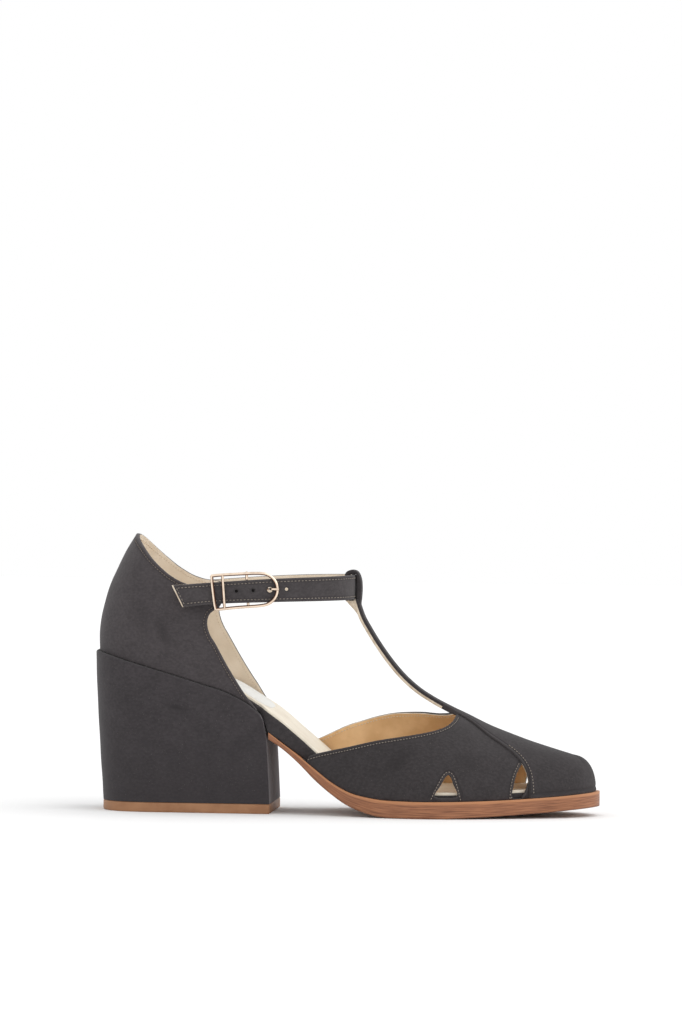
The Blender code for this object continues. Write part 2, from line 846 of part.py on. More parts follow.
def counter_point_grid(inset):
    """Grid of the rear upper's face, drawn in by inset: U sections that stand on the heel's slanted top."""
    heights = np.concatenate([[COUNTER["h"][0]], np.linspace(6, COUNTER["h"][-1], 9)])
    rows = []
    for h in heights:
        back, half, length = (float(read(COUNTER, name, h)) for name in ("back", "half", "round"))
        x, y = horseshoe(
            back + inset, COUNTER_FRONT, half - inset, length - inset, COUNTER_SQUARE, around=11
        )
        rows.append(np.stack([x, y, read(HEEL_TOP, "z", x) + h], 1))
    return np.array(rows)


def counter():
    """Rear upper: a hollow U, trimmed in side view to each side's topline and front edge."""
    wall = make_piece(
        "counter", *shell(counter_point_grid(0.0), counter_point_grid(COUNTER_WALL)), label="nubuck"
    )
    for name, corners, near, far in (
        ("counter_edge_lateral", COUNTER_EDGE_LATERAL, -40.0, 0.3),
        ("counter_edge_medial", COUNTER_EDGE_MEDIAL, -0.3, 40.0),
    ):
        edge = np.vstack([rounded(corners, 3), [(44, 36), (60, 160), (-30, 160)]])
        boolean(wall, prism(name, edge, near, far), "DIFFERENCE")
    return wall


def strap_middle():
    """Middle line of the ankle strap in plan, from the lateral tail round the front to the medial end."""
    turn = np.linspace(0, np.pi / 2, 15)
    bend_x = STRAP_BEND_FROM + (STRAP_FRONT - STRAP_BEND_FROM) * np.sin(turn) ** (2 / STRAP_POWER)
    bend_y = np.cos(turn) ** (2 / STRAP_POWER)
    lateral_x = np.concatenate([np.linspace(STRAP_TAIL, STRAP_BEND_FROM, 6)[:-1], bend_x])
    lateral_y = -STRAP_SIDE_LATERAL * np.concatenate([np.ones(5), bend_y])
    medial_x = np.concatenate([bend_x[::-1][1:], np.linspace(STRAP_BEND_FROM, STRAP_MEDIAL_END, 5)[1:]])
    medial_y = STRAP_SIDE_MEDIAL * np.concatenate([bend_y[::-1][1:], np.ones(4)])
    return np.stack([np.concatenate([lateral_x, medial_x]), np.concatenate([lateral_y, medial_y])], 1)


def ankle_strap():
    """Flat strap with soft corners, its tail cut on a slant, and a row of holes."""
    line = strap_middle()
    heading = np.gradient(line, axis=0)
    heading /= np.linalg.norm(heading, axis=1)[:, None]
    outward = np.stack([heading[:, 1], -heading[:, 0]], 1)
    rings = []
    for (x, y), (nx, ny), order in zip(line, outward, range(len(line))):
        middle = float(read(STRAP_RISE, "middle", x))
        half = float(read(STRAP_RISE, "half", x))
        slant = STRAP_TAIL_SLANT * max(0.0, 1 - order / 3)
        ring = []
        for out, up in STRAP_SECTION:
            away = out * STRAP_THICK / 2
            ring.append((x + nx * away + slant * up * half, y + ny * away, middle + up * half))
        rings.append(ring)
    strap = make_piece("ankle_strap", *loft(rings), label="nubuck")
    for step in (-2, -1, 0, 1):
        x = PRONG_AT + step * HOLE_PITCH
        radius = PRONG_HOLE if step == 0 else STRAP_HOLE
        height = float(read(STRAP_RISE, "middle", x)) + HOLE_RISE
        hole = tube([(x, -34.0, height), (x, -18.0, height)], radius, sides=10)
        boolean(strap, make_piece(f"strap_hole_{step + 3}", *hole), "DIFFERENCE")
    return strap


def on_buckle(x, z, away=0.0):
    """A point of the buckle's plane, which turns a little in plan to follow the strap."""
    return (x, BUCKLE_Y - away + (x - FRAME_LINE[0][0]) * BUCKLE_TURN, z)


def buckle_frame():
    """Wire frame with a keeper bar over the strap and a hidden bar under it, all one casting."""
    line = [on_buckle(x, z) for x, z in rounded(FRAME_LINE, 2, closed=True)]
    frame = make_piece("buckle_frame", *tube(line, BUCKLE_WIRE, closed=True), label="rose_gold")
    keeper = [on_buckle(x, z) for x, z in KEEPER_BAR]
    boolean(frame, make_piece("keeper_bar", *tube(keeper, BUCKLE_WIRE * 0.94)), "UNION")
    (top_x, top_z), (low_x, low_z) = HIDDEN_BAR
    hidden = [
        on_buckle(top_x, top_z),
        (top_x, HIDDEN_BAR_Y - 1.2, top_z),
        (top_x, HIDDEN_BAR_Y, top_z - 1.0),
        (low_x, HIDDEN_BAR_Y, low_z + 1.0),
        (low_x, HIDDEN_BAR_Y - 1.2, low_z),
        on_buckle(low_x, low_z),
    ]
    boolean(frame, make_piece("hidden_bar", *tube(hidden, BUCKLE_WIRE * 0.9)), "UNION")
    return frame


def buckle_prong():
    """Prong from the hidden bar, out through the strap's hole and onto the frame's round end."""
    line = [(x, y, PRONG_HEIGHT) for x, y in rounded(PRONG_LINE, 3)]
    return make_piece("buckle_prong", *tube(line, PRONG_WIRE), label="rose_gold")


def buckle_tab():
    """Leather tab on the counter that holds the buckle's hidden bar, under the strap's tail."""
    low, high = TAB_HEIGHT - TAB_HALF, TAB_HEIGHT + TAB_HALF
    rings = []
    for x in (TAB_FROM, TAB_FROM + 1, TAB_TO - 1, TAB_TO):
        outer = TAB_INNER - (TAB_END_THICK if x in (TAB_FROM, TAB_TO) else TAB_THICK)
        rings.append([(x, outer, low), (x, TAB_INNER, low), (x, TAB_INNER, high), (x, outer, high)])
    return make_piece("buckle_tab", *loft(rings), label="nubuck")


def main():
    clear_scene()
    outsole()
    heel_block()
    heel_tip()
    insole_board()
    insole_sock()
    vamp()
    counter()
    ankle_strap()
    buckle_tab()
    buckle_frame()
    buckle_prong()


main()
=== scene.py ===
"""Looks of a T-strap shoe on a block heel, the right shoe of a pair.

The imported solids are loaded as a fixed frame, and a finely meshed and dressed piece takes the place
of each. Sizes are in millimetres, in the frame of the solids: +X to the toe, +Y to the inner side
of the foot, +Z up, and the origin on the floor under the middle of the heel.
"""

import logging
from dataclasses import dataclass, field
from enum import Enum, IntEnum

import bmesh
import bpy
import numpy as np
from mathutils import Matrix, Vector

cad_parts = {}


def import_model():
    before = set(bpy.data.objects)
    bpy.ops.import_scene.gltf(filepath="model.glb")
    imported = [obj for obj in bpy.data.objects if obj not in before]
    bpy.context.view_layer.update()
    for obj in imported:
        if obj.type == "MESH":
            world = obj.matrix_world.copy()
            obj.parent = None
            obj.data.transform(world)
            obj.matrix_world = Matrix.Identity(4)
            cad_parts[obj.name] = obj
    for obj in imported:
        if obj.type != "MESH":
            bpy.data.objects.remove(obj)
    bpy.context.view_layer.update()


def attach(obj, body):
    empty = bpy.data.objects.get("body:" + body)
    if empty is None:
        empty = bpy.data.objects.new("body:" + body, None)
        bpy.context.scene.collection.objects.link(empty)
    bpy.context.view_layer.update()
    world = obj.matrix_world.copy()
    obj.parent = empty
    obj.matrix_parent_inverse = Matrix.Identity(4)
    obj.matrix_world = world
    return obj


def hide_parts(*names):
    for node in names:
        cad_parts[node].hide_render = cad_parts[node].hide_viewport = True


LOG = logging.getLogger("shoe")
Array = np.ndarray
Material = bpy.types.Material
Socket = bpy.types.NodeSocket
Value = Socket | float | tuple
Triple = tuple[float, float, float]
Colour = tuple[float, ...]
Corners = tuple[tuple[float, float], ...]

BODY = "root"
MM = 0.001
TINY = 1e-9
# A field stops at FAR. BARE is the edge mark of points that no edge or seam darkens.
FAR = 20.0
BARE = 9.0
# A trough as deep as this gets the darkest painted shade.
DEEP_DENT = 0.4
# Share of a cell's edge that a cut leaves on either side at least.
CUT_MARGIN = 0.06
# Rows of faces round the rim of a sheet.
RIM_ROWS = 6
# Points nearer than these become one, on sheets that fold on themselves and on the others.
FOLD_WELD, WELD = 0.006, 0.004
# Angles, in degrees, past which layers and sheets show an edge.
LAYER_SHARP, SHEET_SHARP = 50.0, 60.0


class Zone(IntEnum):
    """The three kinds of face of a leather sheet, in the order of its material slots."""

    OUTSIDE = 0
    LINING = 1
    EDGE = 2


class Side(IntEnum):
    """Outer or inner side of the foot, as the sign of Y."""

    LATERAL = -1
    MEDIAL = 1


def smooth(xs: Array, ys: Array, at: Array) -> Array:
    """Reads a curve through points, made of cubic pieces whose slopes agree where they meet.

    Args:
        xs: rising places of the points.
        ys: their values.
        at: places to read, held to the range of xs.

    Returns:
        The values there.
    """
    at = np.clip(np.asarray(at, float), xs[0], xs[-1])
    step = np.diff(xs)
    rise = np.diff(ys) / step
    slope = np.empty(len(xs))
    slope[0], slope[-1] = rise[0], rise[-1]
    slope[1:-1] = (rise[:-1] * step[1:] + rise[1:] * step[:-1]) / (step[:-1] + step[1:])
    k = np.clip(np.searchsorted(xs, at, side="right") - 1, 0, len(xs) - 2)
    u = (at - xs[k]) / step[k]
    start = (1 + 2 * u) * (1 - u) ** 2 * ys[k] + u * (1 - u) ** 2 * step[k] * slope[k]
    end = u * u * (3 - 2 * u) * ys[k + 1] + u * u * (u - 1) * step[k] * slope[k + 1]
    return start + end


def rounded(corners: Array, steps: int, closed: bool = False) -> Array:
    """Draws a smooth curve through corner points, a cubic between each two.

    Args:
        corners: points in two or three dimensions.
        steps: points of the curve for each corner.
        closed: True joins the last corner to the first.

    Returns:
        The curve's points.
    """
    corners = np.asarray(corners, float)
    if closed:
        ring = np.vstack([corners[-1], corners, corners[:2]])
    else:
        ring = np.vstack([2 * corners[0] - corners[1], corners, 2 * corners[-1] - corners[-2]])
    u = (np.arange(steps) / steps)[None, :, None]
    a, b, c, d = (ring[i : len(ring) - 3 + i, None] for i in range(4))
    runs = (
        b
        + (c - a) * u / 2
        + (2 * a - 5 * b + 4 * c - d) * u**2 / 2
        + (3 * b - a - 3 * c + d) * u**3 / 2
    )
    curve = runs.reshape(-1, corners.shape[1])
    return curve if closed else np.vstack([curve, corners[-1]])


def unit(vectors: Array) -> Array:
    """Scales vectors to length one."""
    return vectors / np.maximum(np.linalg.norm(vectors, axis=-1, keepdims=True), TINY)


def run_length(line: Array) -> Array:
    """Gives each point's distance along a line of points, measured on its last axis but one."""
    steps = np.linalg.norm(np.diff(line, axis=-2), axis=-1)
    return np.concatenate([np.zeros(steps.shape[:-1] + (1,)), np.cumsum(steps, axis=-1)], -1)


def resample(line: Array, places: Array) -> Array:
    """Reads a line of points at distances along it."""
    run = run_length(line)
    return np.stack([np.interp(places, run, column) for column in line.T], -1)


def outline_distance(x: Array, z: Array, outline: Array) -> Array:
    """Signed distance to a closed outline in side view, plus outside and minus inside.

    The distance is the least one to its edges, and the sign comes from how often a ray to +X
    crosses them.

    Args:
        x: places along the shoe.
        z: heights.
        outline: corner points of the closed outline.

    Returns:
        The distances, in the shape of x.
    """
    points = np.stack([np.ravel(x), np.ravel(z)], -1)
    a = np.asarray(outline, float)
    b = np.roll(a, -1, axis=0)
    edge = b - a
    rel = points[:, None] - a[None]
    share = np.clip((rel * edge).sum(-1) / np.maximum((edge**2).sum(-1), TINY**2), 0, 1)
    away = np.linalg.norm(rel - share[..., None] * edge, axis=-1).min(1)
    height = points[:, None, 1]
    spans = (a[None, :, 1] > height) != (b[None, :, 1] > height)
    drop = np.where(np.abs(edge[:, 1]) < TINY, TINY, edge[:, 1])
    hit = a[None, :, 0] + (height - a[None, :, 1]) * edge[None, :, 0] / drop
    inside = (spans & (hit > points[:, None, 0])).sum(1) % 2 == 1
    return np.where(inside, -away, away).reshape(np.shape(x))


class Table:
    """Named columns of sizes, read as smooth curves of the first column."""

    def __init__(self, names: str, *rows: tuple[float, ...]) -> None:
        """Keeps the rows as columns, by name."""
        self.columns = dict(zip(names.split(), np.array(rows, float).T))
        self.first = names.split()[0]

    def read(self, name: str, at: Array) -> Array:
        """Gives a column at places of the first column."""
        return smooth(self.columns[self.first], self.columns[name], at)

    def corners(self) -> Array:
        """Gives the first two columns as points."""
        return np.stack(list(self.columns.values())[:2], -1)


@dataclass
class Shape:
    """Points and polygons of a piece, in millimetres, before it becomes a mesh.

    The polygons come in blocks of equal corner count, each with the material zones of its faces.
    marks are numbers kept for each point, which the finishes read.
    """

    points: Array
    polygons: list[Array]
    zones: list[Array]
    uv: Array
    marks: dict[str, Array] = field(default_factory=dict)

    def outward(self) -> "Shape":
        """Turns all faces over if the closed shape's volume, summed over its faces, is negative.

        Returns:
            The shape itself.
        """
        volume = 0.0
        for block in self.polygons:
            fan = self.points[block]
            first, sides = fan[:, :1], fan[:, 1:]
            cross = np.cross(sides[:, :-1], sides[:, 1:])
            volume += float((first * cross).sum())
        if volume < 0:
            self.polygons = [block[:, ::-1] for block in self.polygons]
        return self

    def join(self, *others: "Shape") -> "Shape":
        """Gives one shape of this one and others, side by side.

        Args:
            others: closed shapes that already face outwards.

        Returns:
            The joined shape, without marks.
        """
        every = [self, *others]
        start = np.cumsum([0] + [len(shape.points) for shape in every])
        return Shape(
            np.vstack([shape.points for shape in every]),
            [block + n for shape, n in zip(every, start) for block in shape.polygons],
            [zone for shape in every for zone in shape.zones],
            np.vstack([shape.uv for shape in every]),
        )

    def cover_edges(self, low: Triple, high: Triple) -> "Shape":
        """Gives the edge faces inside a box the outside's finish.

        Args:
            low: lowest corner of the box.
            high: highest corner.

        Returns:
            The shape.
        """
        for block, zone in zip(self.polygons, self.zones):
            middle = self.points[block].mean(1)
            inside = ((middle > low) & (middle < high)).all(1)
            zone[inside & (zone == Zone.EDGE)] = Zone.OUTSIDE
        return self

    def place(
        self,
        name: str,
        finishes: tuple[Material, ...],
        slot: str,
        replaces: tuple[str, ...] = (),
        weld: float = 0.0,
        sharp: float = 40.0,
    ) -> bpy.types.Object:
        """Makes the mesh and lets it ride on the shoe's body.

        Args:
            name: the piece's name.
            finishes: materials, one for each zone.
            slot: a material slot's name; not used.
            replaces: solids that this piece stands for.
            weld: points nearer than this become one.
            sharp: faces that meet at more than this angle, in degrees, show an edge.

        Returns:
            The object, at the origin.
        """
        mesh = bpy.data.meshes.new(name)
        sizes = np.concatenate([np.full(len(block), block.shape[1]) for block in self.polygons])
        corners = np.concatenate([block.ravel() for block in self.polygons]).astype(np.int32)
        mesh.vertices.add(len(self.points))
        mesh.loops.add(len(corners))
        mesh.polygons.add(len(sizes))
        mesh.vertices.foreach_set("co", (self.points * MM).astype(np.float32).ravel())
        mesh.loops.foreach_set("vertex_index", corners)
        starts = np.concatenate([[0], np.cumsum(sizes)[:-1]]).astype(np.int32)
        mesh.polygons.foreach_set("loop_start", starts)
        mesh.polygons.foreach_set("material_index", np.concatenate(self.zones).astype(np.int32))
        mesh.update(calc_edges=True)
        layer = mesh.uv_layers.new(name="sizes")
        layer.uv.foreach_set("vector", self.uv[corners].astype(np.float32).ravel())
        for label, values in self.marks.items():
            mark = mesh.attributes.new(label, "FLOAT", "POINT")
            mark.data.foreach_set("value", values.astype(np.float32))
        if weld > 0:
            work = bmesh.new()
            work.from_mesh(mesh)
            bmesh.ops.remove_doubles(work, verts=work.verts, dist=weld * MM)
            work.to_mesh(mesh)
            work.free()
        mesh.shade_smooth()
        mesh.set_sharp_from_angle(angle=np.radians(sharp))
        for finish in finishes:
            mesh.materials.append(finish)
        piece = bpy.data.objects.new(name, mesh)
        bpy.context.scene.collection.objects.link(piece)
        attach(piece, BODY)
        if replaces:
            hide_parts(*replaces)
        LOG.info("%s: %d faces", name, len(mesh.polygons))
        return piece


def grid_quads(index: Array) -> Array:
    """Gives the quads between the points of a grid of point numbers."""
    corners = (index[:-1, :-1], index[1:, :-1], index[1:, 1:], index[:-1, 1:])
    return np.stack(corners, -1).reshape(-1, 4)


def loft(rings: Array, uv: Array | None = None, closed: bool = False) -> Shape:
    """Skins closed rings into one shape: quads between rings, and a flat cap at each open end.

    Args:
        rings: points as ring, point, coordinate.
        uv: map coordinates of the points. The distances along and round are taken if it is None.
        closed: True joins the last ring to the first.

    Returns:
        The closed shape.
    """
    rows, columns = rings.shape[:2]
    index = np.arange(rows * columns).reshape(rows, columns)
    index = np.hstack([index, index[:, :1]])
    if closed:
        index = np.vstack([index, index[:1]])
    polygons = [grid_quads(index)]
    if not closed:
        polygons += [index[:1, :-1][:, ::-1], index[-1:, :-1]]
    if uv is None:
        along = run_length(np.swapaxes(rings, 0, 1)).T
        uv = np.stack([along, run_length(rings)], -1)
    zones = [np.zeros(len(block), int) for block in polygons]
    return Shape(rings.reshape(-1, 3), polygons, zones, uv.reshape(-1, 2)).outward()


def tube(line: Array, radius: float | Array, sides: int, closed: bool = False) -> Shape:
    """Carries a circle along a line. Its section turns with the line and doesn't twist.

    Args:
        line: points of the centreline.
        radius: one radius, or one for each point.
        sides: points round the section.
        closed: True for a ring.

    Returns:
        The closed shape.
    """
    line = np.asarray(line, float)
    ahead = np.roll(line, -1, 0) - np.roll(line, 1, 0) if closed else np.gradient(line, axis=0)
    heading = unit(ahead)
    side = np.cross(heading, (0.0, 1.0, 0.0))
    along_y = np.linalg.norm(side, axis=1) < 0.2
    side[along_y] = np.cross(heading[along_y], (0.0, 0.0, 1.0))
    side = unit(side)
    other = np.cross(heading, side)
    turn = np.arange(sides) * 2 * np.pi / sides
    reach = np.broadcast_to(radius, len(line))[:, None, None]
    right, up = np.cos(turn)[None, :, None], np.sin(turn)[None, :, None]
    circle = right * side[:, None] + up * other[:, None]
    return loft(line[:, None] + reach * circle, closed=closed)


def beyond(corner: Array, before: Array, share: float) -> Array:
    """Carries a line on past its last corner, by a share of its last step."""
    return (1 + share) * corner - share * before


def cut_grid(keep: Array, close_end: bool) -> tuple[Array, Array, Array, list[Array]]:
    """Cuts a grid along the line where a field is 0, in the way of marching squares.

    A cell that is wholly kept stays a quad. In a cell that the line crosses, the polygon runs over
    its kept corners and over the crossings, which split their edges in the ratio of the field.

    Args:
        keep: the field on the grid, above 0 where the sheet stays.
        close_end: True folds the last row on itself, so that its two halves share points.

    Returns:
        First and second grid point of each new point, the second one's share, and the polygons.
    """
    rows, columns = keep.shape
    index = np.arange(rows * columns).reshape(rows, columns)
    value = keep.ravel()
    inside = value > 0
    a = np.concatenate([index[:, :-1].ravel(), index[:-1].ravel()])
    b = np.concatenate([index[:, 1:].ravel(), index[1:].ravel()])
    crossed = inside[a] != inside[b]
    number = np.full(rows * columns, -1)
    number[inside] = np.arange(inside.sum())
    split = np.full(len(a), -1)
    split[crossed] = inside.sum() + np.arange(crossed.sum())
    ratio = value[a][crossed] / (value[a][crossed] - value[b][crossed])
    grid = number.reshape(rows, columns)
    level = split[: rows * (columns - 1)].reshape(rows, columns - 1)
    down = split[rows * (columns - 1) :].reshape(rows - 1, columns)
    if close_end:
        half = columns // 2
        grid[-1, columns - half :] = grid[-1, :half][::-1]
        level[-1, columns - 1 - half :] = level[-1, :half][::-1]
    near = [grid[:-1, :-1], down[:, :-1], grid[1:, :-1], level[1:]]
    far = [grid[1:, 1:], down[:, 1:], grid[:-1, 1:], level[:-1]]
    ring = np.stack(near + far, -1).reshape(-1, 8)
    valid = ring >= 0
    count = valid.sum(1)
    sizes = [size for size in range(3, 7) if (count == size).any()]
    polygons = [ring[count == size][valid[count == size]].reshape(-1, size) for size in sizes]
    own = np.flatnonzero(inside)
    first = np.concatenate([own, a[crossed]])
    second = np.concatenate([own, b[crossed]])
    share = np.concatenate([np.zeros(len(own)), np.clip(ratio, CUT_MARGIN, 1 - CUT_MARGIN)])
    return first, second, share, polygons


def sheet(
    outer: Array,
    inner: Array,
    keep: Array | None = None,
    marks: dict[str, Array] | None = None,
    bulge: float = 0.3,
    turned: int = 3,
    close_end: bool = False,
) -> Shape:
    """Makes a closed leather sheet between two grids, cut by a field, with round rims.

    The rim is half an ellipse from the outer to the inner face: its height is half the wall, and
    bulge is how far it stands out of the cut, along the surface and square to the cut.

    Args:
        outer: grid of points of the outer face.
        inner: grid of points of the inner face.
        keep: the field on the grid, above 0 where the sheet stays. None keeps all of it.
        marks: numbers on the grid, kept for the finishes.
        bulge: how far the rim stands out.
        turned: rows of the rim, of RIM_ROWS, that are the outer leather turned over the edge.
        close_end: True where the last row folds on itself.

    Returns:
        The closed shape with its outside, lining and edge zones.
    """
    marks = marks or {}
    facing = np.cross(np.gradient(outer, axis=0), np.gradient(outer, axis=1))
    if (facing * (outer - inner)).sum() < 0:
        outer, inner = outer[:, ::-1], inner[:, ::-1]
        keep = None if keep is None else keep[:, ::-1]
        marks = {name: grid[:, ::-1] for name, grid in marks.items()}
    keep = np.ones(outer.shape[:2]) if keep is None else keep
    along = run_length(np.swapaxes(outer, 0, 1)).T
    uv = np.stack([along, run_length(outer)], -1)
    first, second, share, polygons = cut_grid(keep, close_end)

    def pick(grid: Array) -> Array:
        """Reads grid values at the cut sheet's points, by straight interpolation."""
        flat = grid.reshape(keep.size, -1)
        return flat[first] * (1 - share[:, None]) + flat[second] * share[:, None]

    top, low, plan = pick(outer), pick(inner), pick(uv)
    count = len(top)
    pairs = [np.stack([block, np.roll(block, -1, 1)], -1).reshape(-1, 2) for block in polygons]
    edges = np.vstack(pairs)
    key = edges[:, 0].astype(np.int64) * count + edges[:, 1]
    back = edges[:, 1].astype(np.int64) * count + edges[:, 0]
    rim = edges[~np.isin(key, back)]
    normal = unit(top - low)
    heading = unit(top[rim[:, 1]] - top[rim[:, 0]])
    away = np.zeros((count, 3))
    for end in (0, 1):
        np.add.at(away, rim[:, end], np.cross(heading, normal[rim[:, end]]))
    used = np.unique(rim)
    place = np.full(count, -1)
    place[used] = np.arange(len(used))
    middle, half = (top + low)[used] / 2, (top - low)[used] / 2
    turn = (np.arange(1, RIM_ROWS) * np.pi / RIM_ROWS)[:, None, None]
    bead = middle + half * np.cos(turn) + unit(away[used]) * bulge * np.sin(turn)
    beads = [2 * count + k * len(used) + place[rim] for k in range(RIM_ROWS - 1)]
    rows = [rim, *beads, rim + count]
    quads = [np.hstack([above[:, ::-1], below]) for above, below in zip(rows, rows[1:])]
    blocks = polygons + [block[:, ::-1] + count for block in polygons] + quads
    kinds = [Zone.OUTSIDE] * len(polygons) + [Zone.LINING] * len(polygons)
    kinds += [Zone.OUTSIDE] * turned + [Zone.EDGE] * (RIM_ROWS - turned)
    zones = [np.full(len(block), kind) for block, kind in zip(blocks, kinds)]
    kept = {}
    for name, grid in marks.items():
        flat = pick(grid)[:, 0]
        kept[name] = np.concatenate([flat, flat, np.tile(flat[used], RIM_ROWS - 1)])
    points = np.vstack([top, low, bead.reshape(-1, 3)])
    plan = np.vstack([plan, plan, np.tile(plan[used], (RIM_ROWS - 1, 1))])
    return Shape(points, blocks, zones, plan, kept).outward()


@dataclass(frozen=True)
class Slab:
    """A flat-lying layer of the shoe, worked out from stations along it.

    Its corner radii are at most the height over height_part and the width over width_part. across,
    side and arc are the steps of a section's flats, sides and corners. On the map its flats lie
    1 / map_depth apart for each millimetre from the side.
    """

    low_round: float = 0.8
    high_round: float = 0.6
    across: int = 14
    side: int = 6
    arc: int = 4
    height_part: float = 2.5
    width_part: float = 4.0
    map_depth: float = 10.0

    def shape(self, x: Array, lateral: Array, medial: Array, under: Array, over: Array) -> Shape:
        """Skins the sections of a layer, which are rectangles with a quarter circle at each corner.

        Args:
            x: stations along the shoe.
            lateral: outer edge at each station.
            medial: inner edge.
            under: height of the lower face.
            over: height of the upper face.

        Returns:
            The closed shape. Its zones are 0 on the side, 1 below and 2 on top, and its map holds
            the distance along the edge and the share of the height.
        """
        room = np.minimum((over - under) / self.height_part, (medial - lateral) / self.width_part)
        low = np.minimum(self.low_round, room)[:, None]
        high = np.minimum(self.high_round, room)[:, None]
        turn = np.linspace(0, np.pi / 2, self.arc + 1)
        up = np.linspace(0, 1, self.side + 1)[1:-1]
        cross = np.linspace(0, 1, self.across + 1)[1:-1]
        left, right = lateral[:, None], medial[:, None]
        floor, roof = under[:, None], over[:, None]
        flat = np.ones_like(x)[:, None]
        pieces = [
            (left + low + (right - left - 2 * low) * cross, floor * np.ones_like(cross), 1),
            (right - low + low * np.sin(turn), floor + low - low * np.cos(turn), 0),
            (right * np.ones_like(up), floor + low + (roof - floor - low - high) * up, 0),
            (right - high + high * np.cos(turn), roof - high + high * np.sin(turn), 0),
            (right - high - (right - left - 2 * high) * cross, roof * np.ones_like(cross), 2),
            (left + high - high * np.sin(turn), roof - high + high * np.cos(turn), 0),
            (left * np.ones_like(up), roof - high - (roof - floor - low - high) * up, 0),
            (left + low - low * np.cos(turn), floor + low - low * np.sin(turn), 0),
        ]
        y = np.hstack([piece[0] * flat for piece in pieces])
        z = np.hstack([piece[1] * flat for piece in pieces])
        zone = np.concatenate([np.full(piece[0].shape[1], piece[2]) for piece in pieces])
        rings = np.stack([np.broadcast_to(x[:, None], y.shape), y, z], -1)
        run = run_length(np.swapaxes(rings, 0, 1)).T
        depth = np.minimum(y - left, right - y) / self.map_depth
        level = (z - floor) / (roof - floor)
        level = np.where(zone == 2, 1 + depth, np.where(zone == 1, -depth, level))
        shape = loft(rings, np.stack([run, level], -1))
        shape.zones[0] = np.tile(np.where(zone == np.roll(zone, -1), zone, 0), len(x) - 1)
        return shape


@dataclass(frozen=True)
class Thread:
    """A row of stitches: small grains of thread whose ends dip into the leather.

    A grain has a ring of so many sides at each of its steps, as thick as its girth there. It points
    along the line between places aim away on either side, and lies over the leather by over.
    """

    pitch: float = 1.45
    length: float = 1.0
    width: float = 0.46
    height: float = 0.27
    dip: float = 0.16
    sides: int = 6
    steps: tuple[float, ...] = (-1.0, -0.75, 0.0, 0.75, 1.0)
    girths: tuple[float, ...] = (0.25, 0.8, 1.0, 0.8, 0.25)
    aim: float = 0.2
    over: float = 0.05

    def row(self, line: Array, normal: Array, shift: float = 0.0) -> Shape:
        """Sews along a line on a surface.

        Args:
            line: points on the surface.
            normal: the surface's normal at each.
            shift: how far to move the row to the left of the line, seen from outside.

        Returns:
            The stitches as one shape.
        """
        heading = unit(np.gradient(line, axis=0))
        line = line + shift * np.cross(normal, heading)
        total = run_length(line)[-1]
        count = max(int(total / self.pitch), 1)
        places = (np.arange(count) + 0.5) * total / count
        run = run_length(line)
        centre = resample(line, places)
        ahead = unit(resample(line, places + self.aim) - resample(line, places - self.aim))
        lift = unit(np.stack([np.interp(places, run, column) for column in normal.T], -1))
        side = np.cross(lift, ahead)
        step, girth = np.array(self.steps)[:, None], np.array(self.girths)[:, None]
        turn = np.arange(self.sides) * np.pi / (self.sides / 2)
        ahead_part = step * self.length / 2 + 0 * turn
        side_part = girth * np.cos(turn) * self.width / 2
        lift_part = girth * np.sin(turn) * self.height - self.dip * step**2
        grain = np.stack([ahead_part, side_part, lift_part], -1)
        frame = np.stack([ahead, side, lift], 1)
        points = centre[:, None] + np.einsum("pk,nkc->npc", grain.reshape(-1, 3), frame)
        one = loft(grain)
        start = (np.arange(count) * turn.size * step.size)[:, None, None]
        polygons = [(block[None] + start).reshape(-1, block.shape[1]) for block in one.polygons]
        zones = [np.zeros(len(block), int) for block in polygons]
        uv = np.tile(one.uv, (count, 1))
        return Shape(points.reshape(-1, 3), polygons, zones, uv).outward()


@dataclass(frozen=True)
class Crease:
    """A soft trough or ridge that follows a line in side view, on one side of the shoe.

    It is whole along the line's middle, where full less fall times the distance is above 1. No
    crease lies nearer the shoe's middle plane than clear.
    """

    start: tuple[float, float]
    end: tuple[float, float]
    width: float
    depth: float
    side: Side = Side.LATERAL
    full: float = 1.2
    fall: float = 1.6
    clear: float = 3.0

    def height(self, points: Array) -> Array:
        """Gives how far it lifts points: a bell across the line, which fades towards its ends.

        Args:
            points: points of the shoe.

        Returns:
            The lift at each point, 0 on the other side of the shoe.
        """
        a, b = np.array(self.start), np.array(self.end)
        rel = points[..., (0, 2)] - a
        share = (rel @ (b - a)) / ((b - a) @ (b - a))
        away = np.linalg.norm(rel - np.clip(share, 0, 1)[..., None] * (b - a), axis=-1)
        fade = np.clip(self.full - np.abs(share - 0.5) * self.fall, 0, 1)
        own_side = points[..., 1] * self.side > self.clear
        return np.where(own_side, -self.depth * np.exp(-((away / self.width) ** 2)) * fade, 0)


def dents(creases: tuple[Crease, ...], points: Array) -> tuple[Array, Array]:
    """Gives how far the creases lift points together, and how much painted shade darkens their
    troughs, 0 to 1.
    """
    lift = sum(crease.height(points) for crease in creases)
    return lift, np.clip(-lift / DEEP_DENT, 0, 1)


def waves(points: Array, size: float) -> Array:
    """Low swells of hand-lasted leather: a sum of slanted sines 17 to 41 mm long.

    Args:
        points: points of the shoe.
        size: height of the swells.

    Returns:
        The lift at each point.
    """
    x, y, z = points[..., 0], points[..., 1], points[..., 2]
    swell = np.sin(x / 4.1 + 1.3 * np.sin(z / 7.3)) + np.sin(z / 3.3 - x / 6.7 + 0.7)
    return size * (swell + np.sin(x / 2.7 + z / 5.9 + y / 4.7)) / 3


HEEL_RAMP = Table(
    "x z", (-47, 77.0), (-31, 72.8), (-12, 67.5), (7, 61.8), (22.5, 56.6), (32, 51.2), (36.2, 47.6),
)


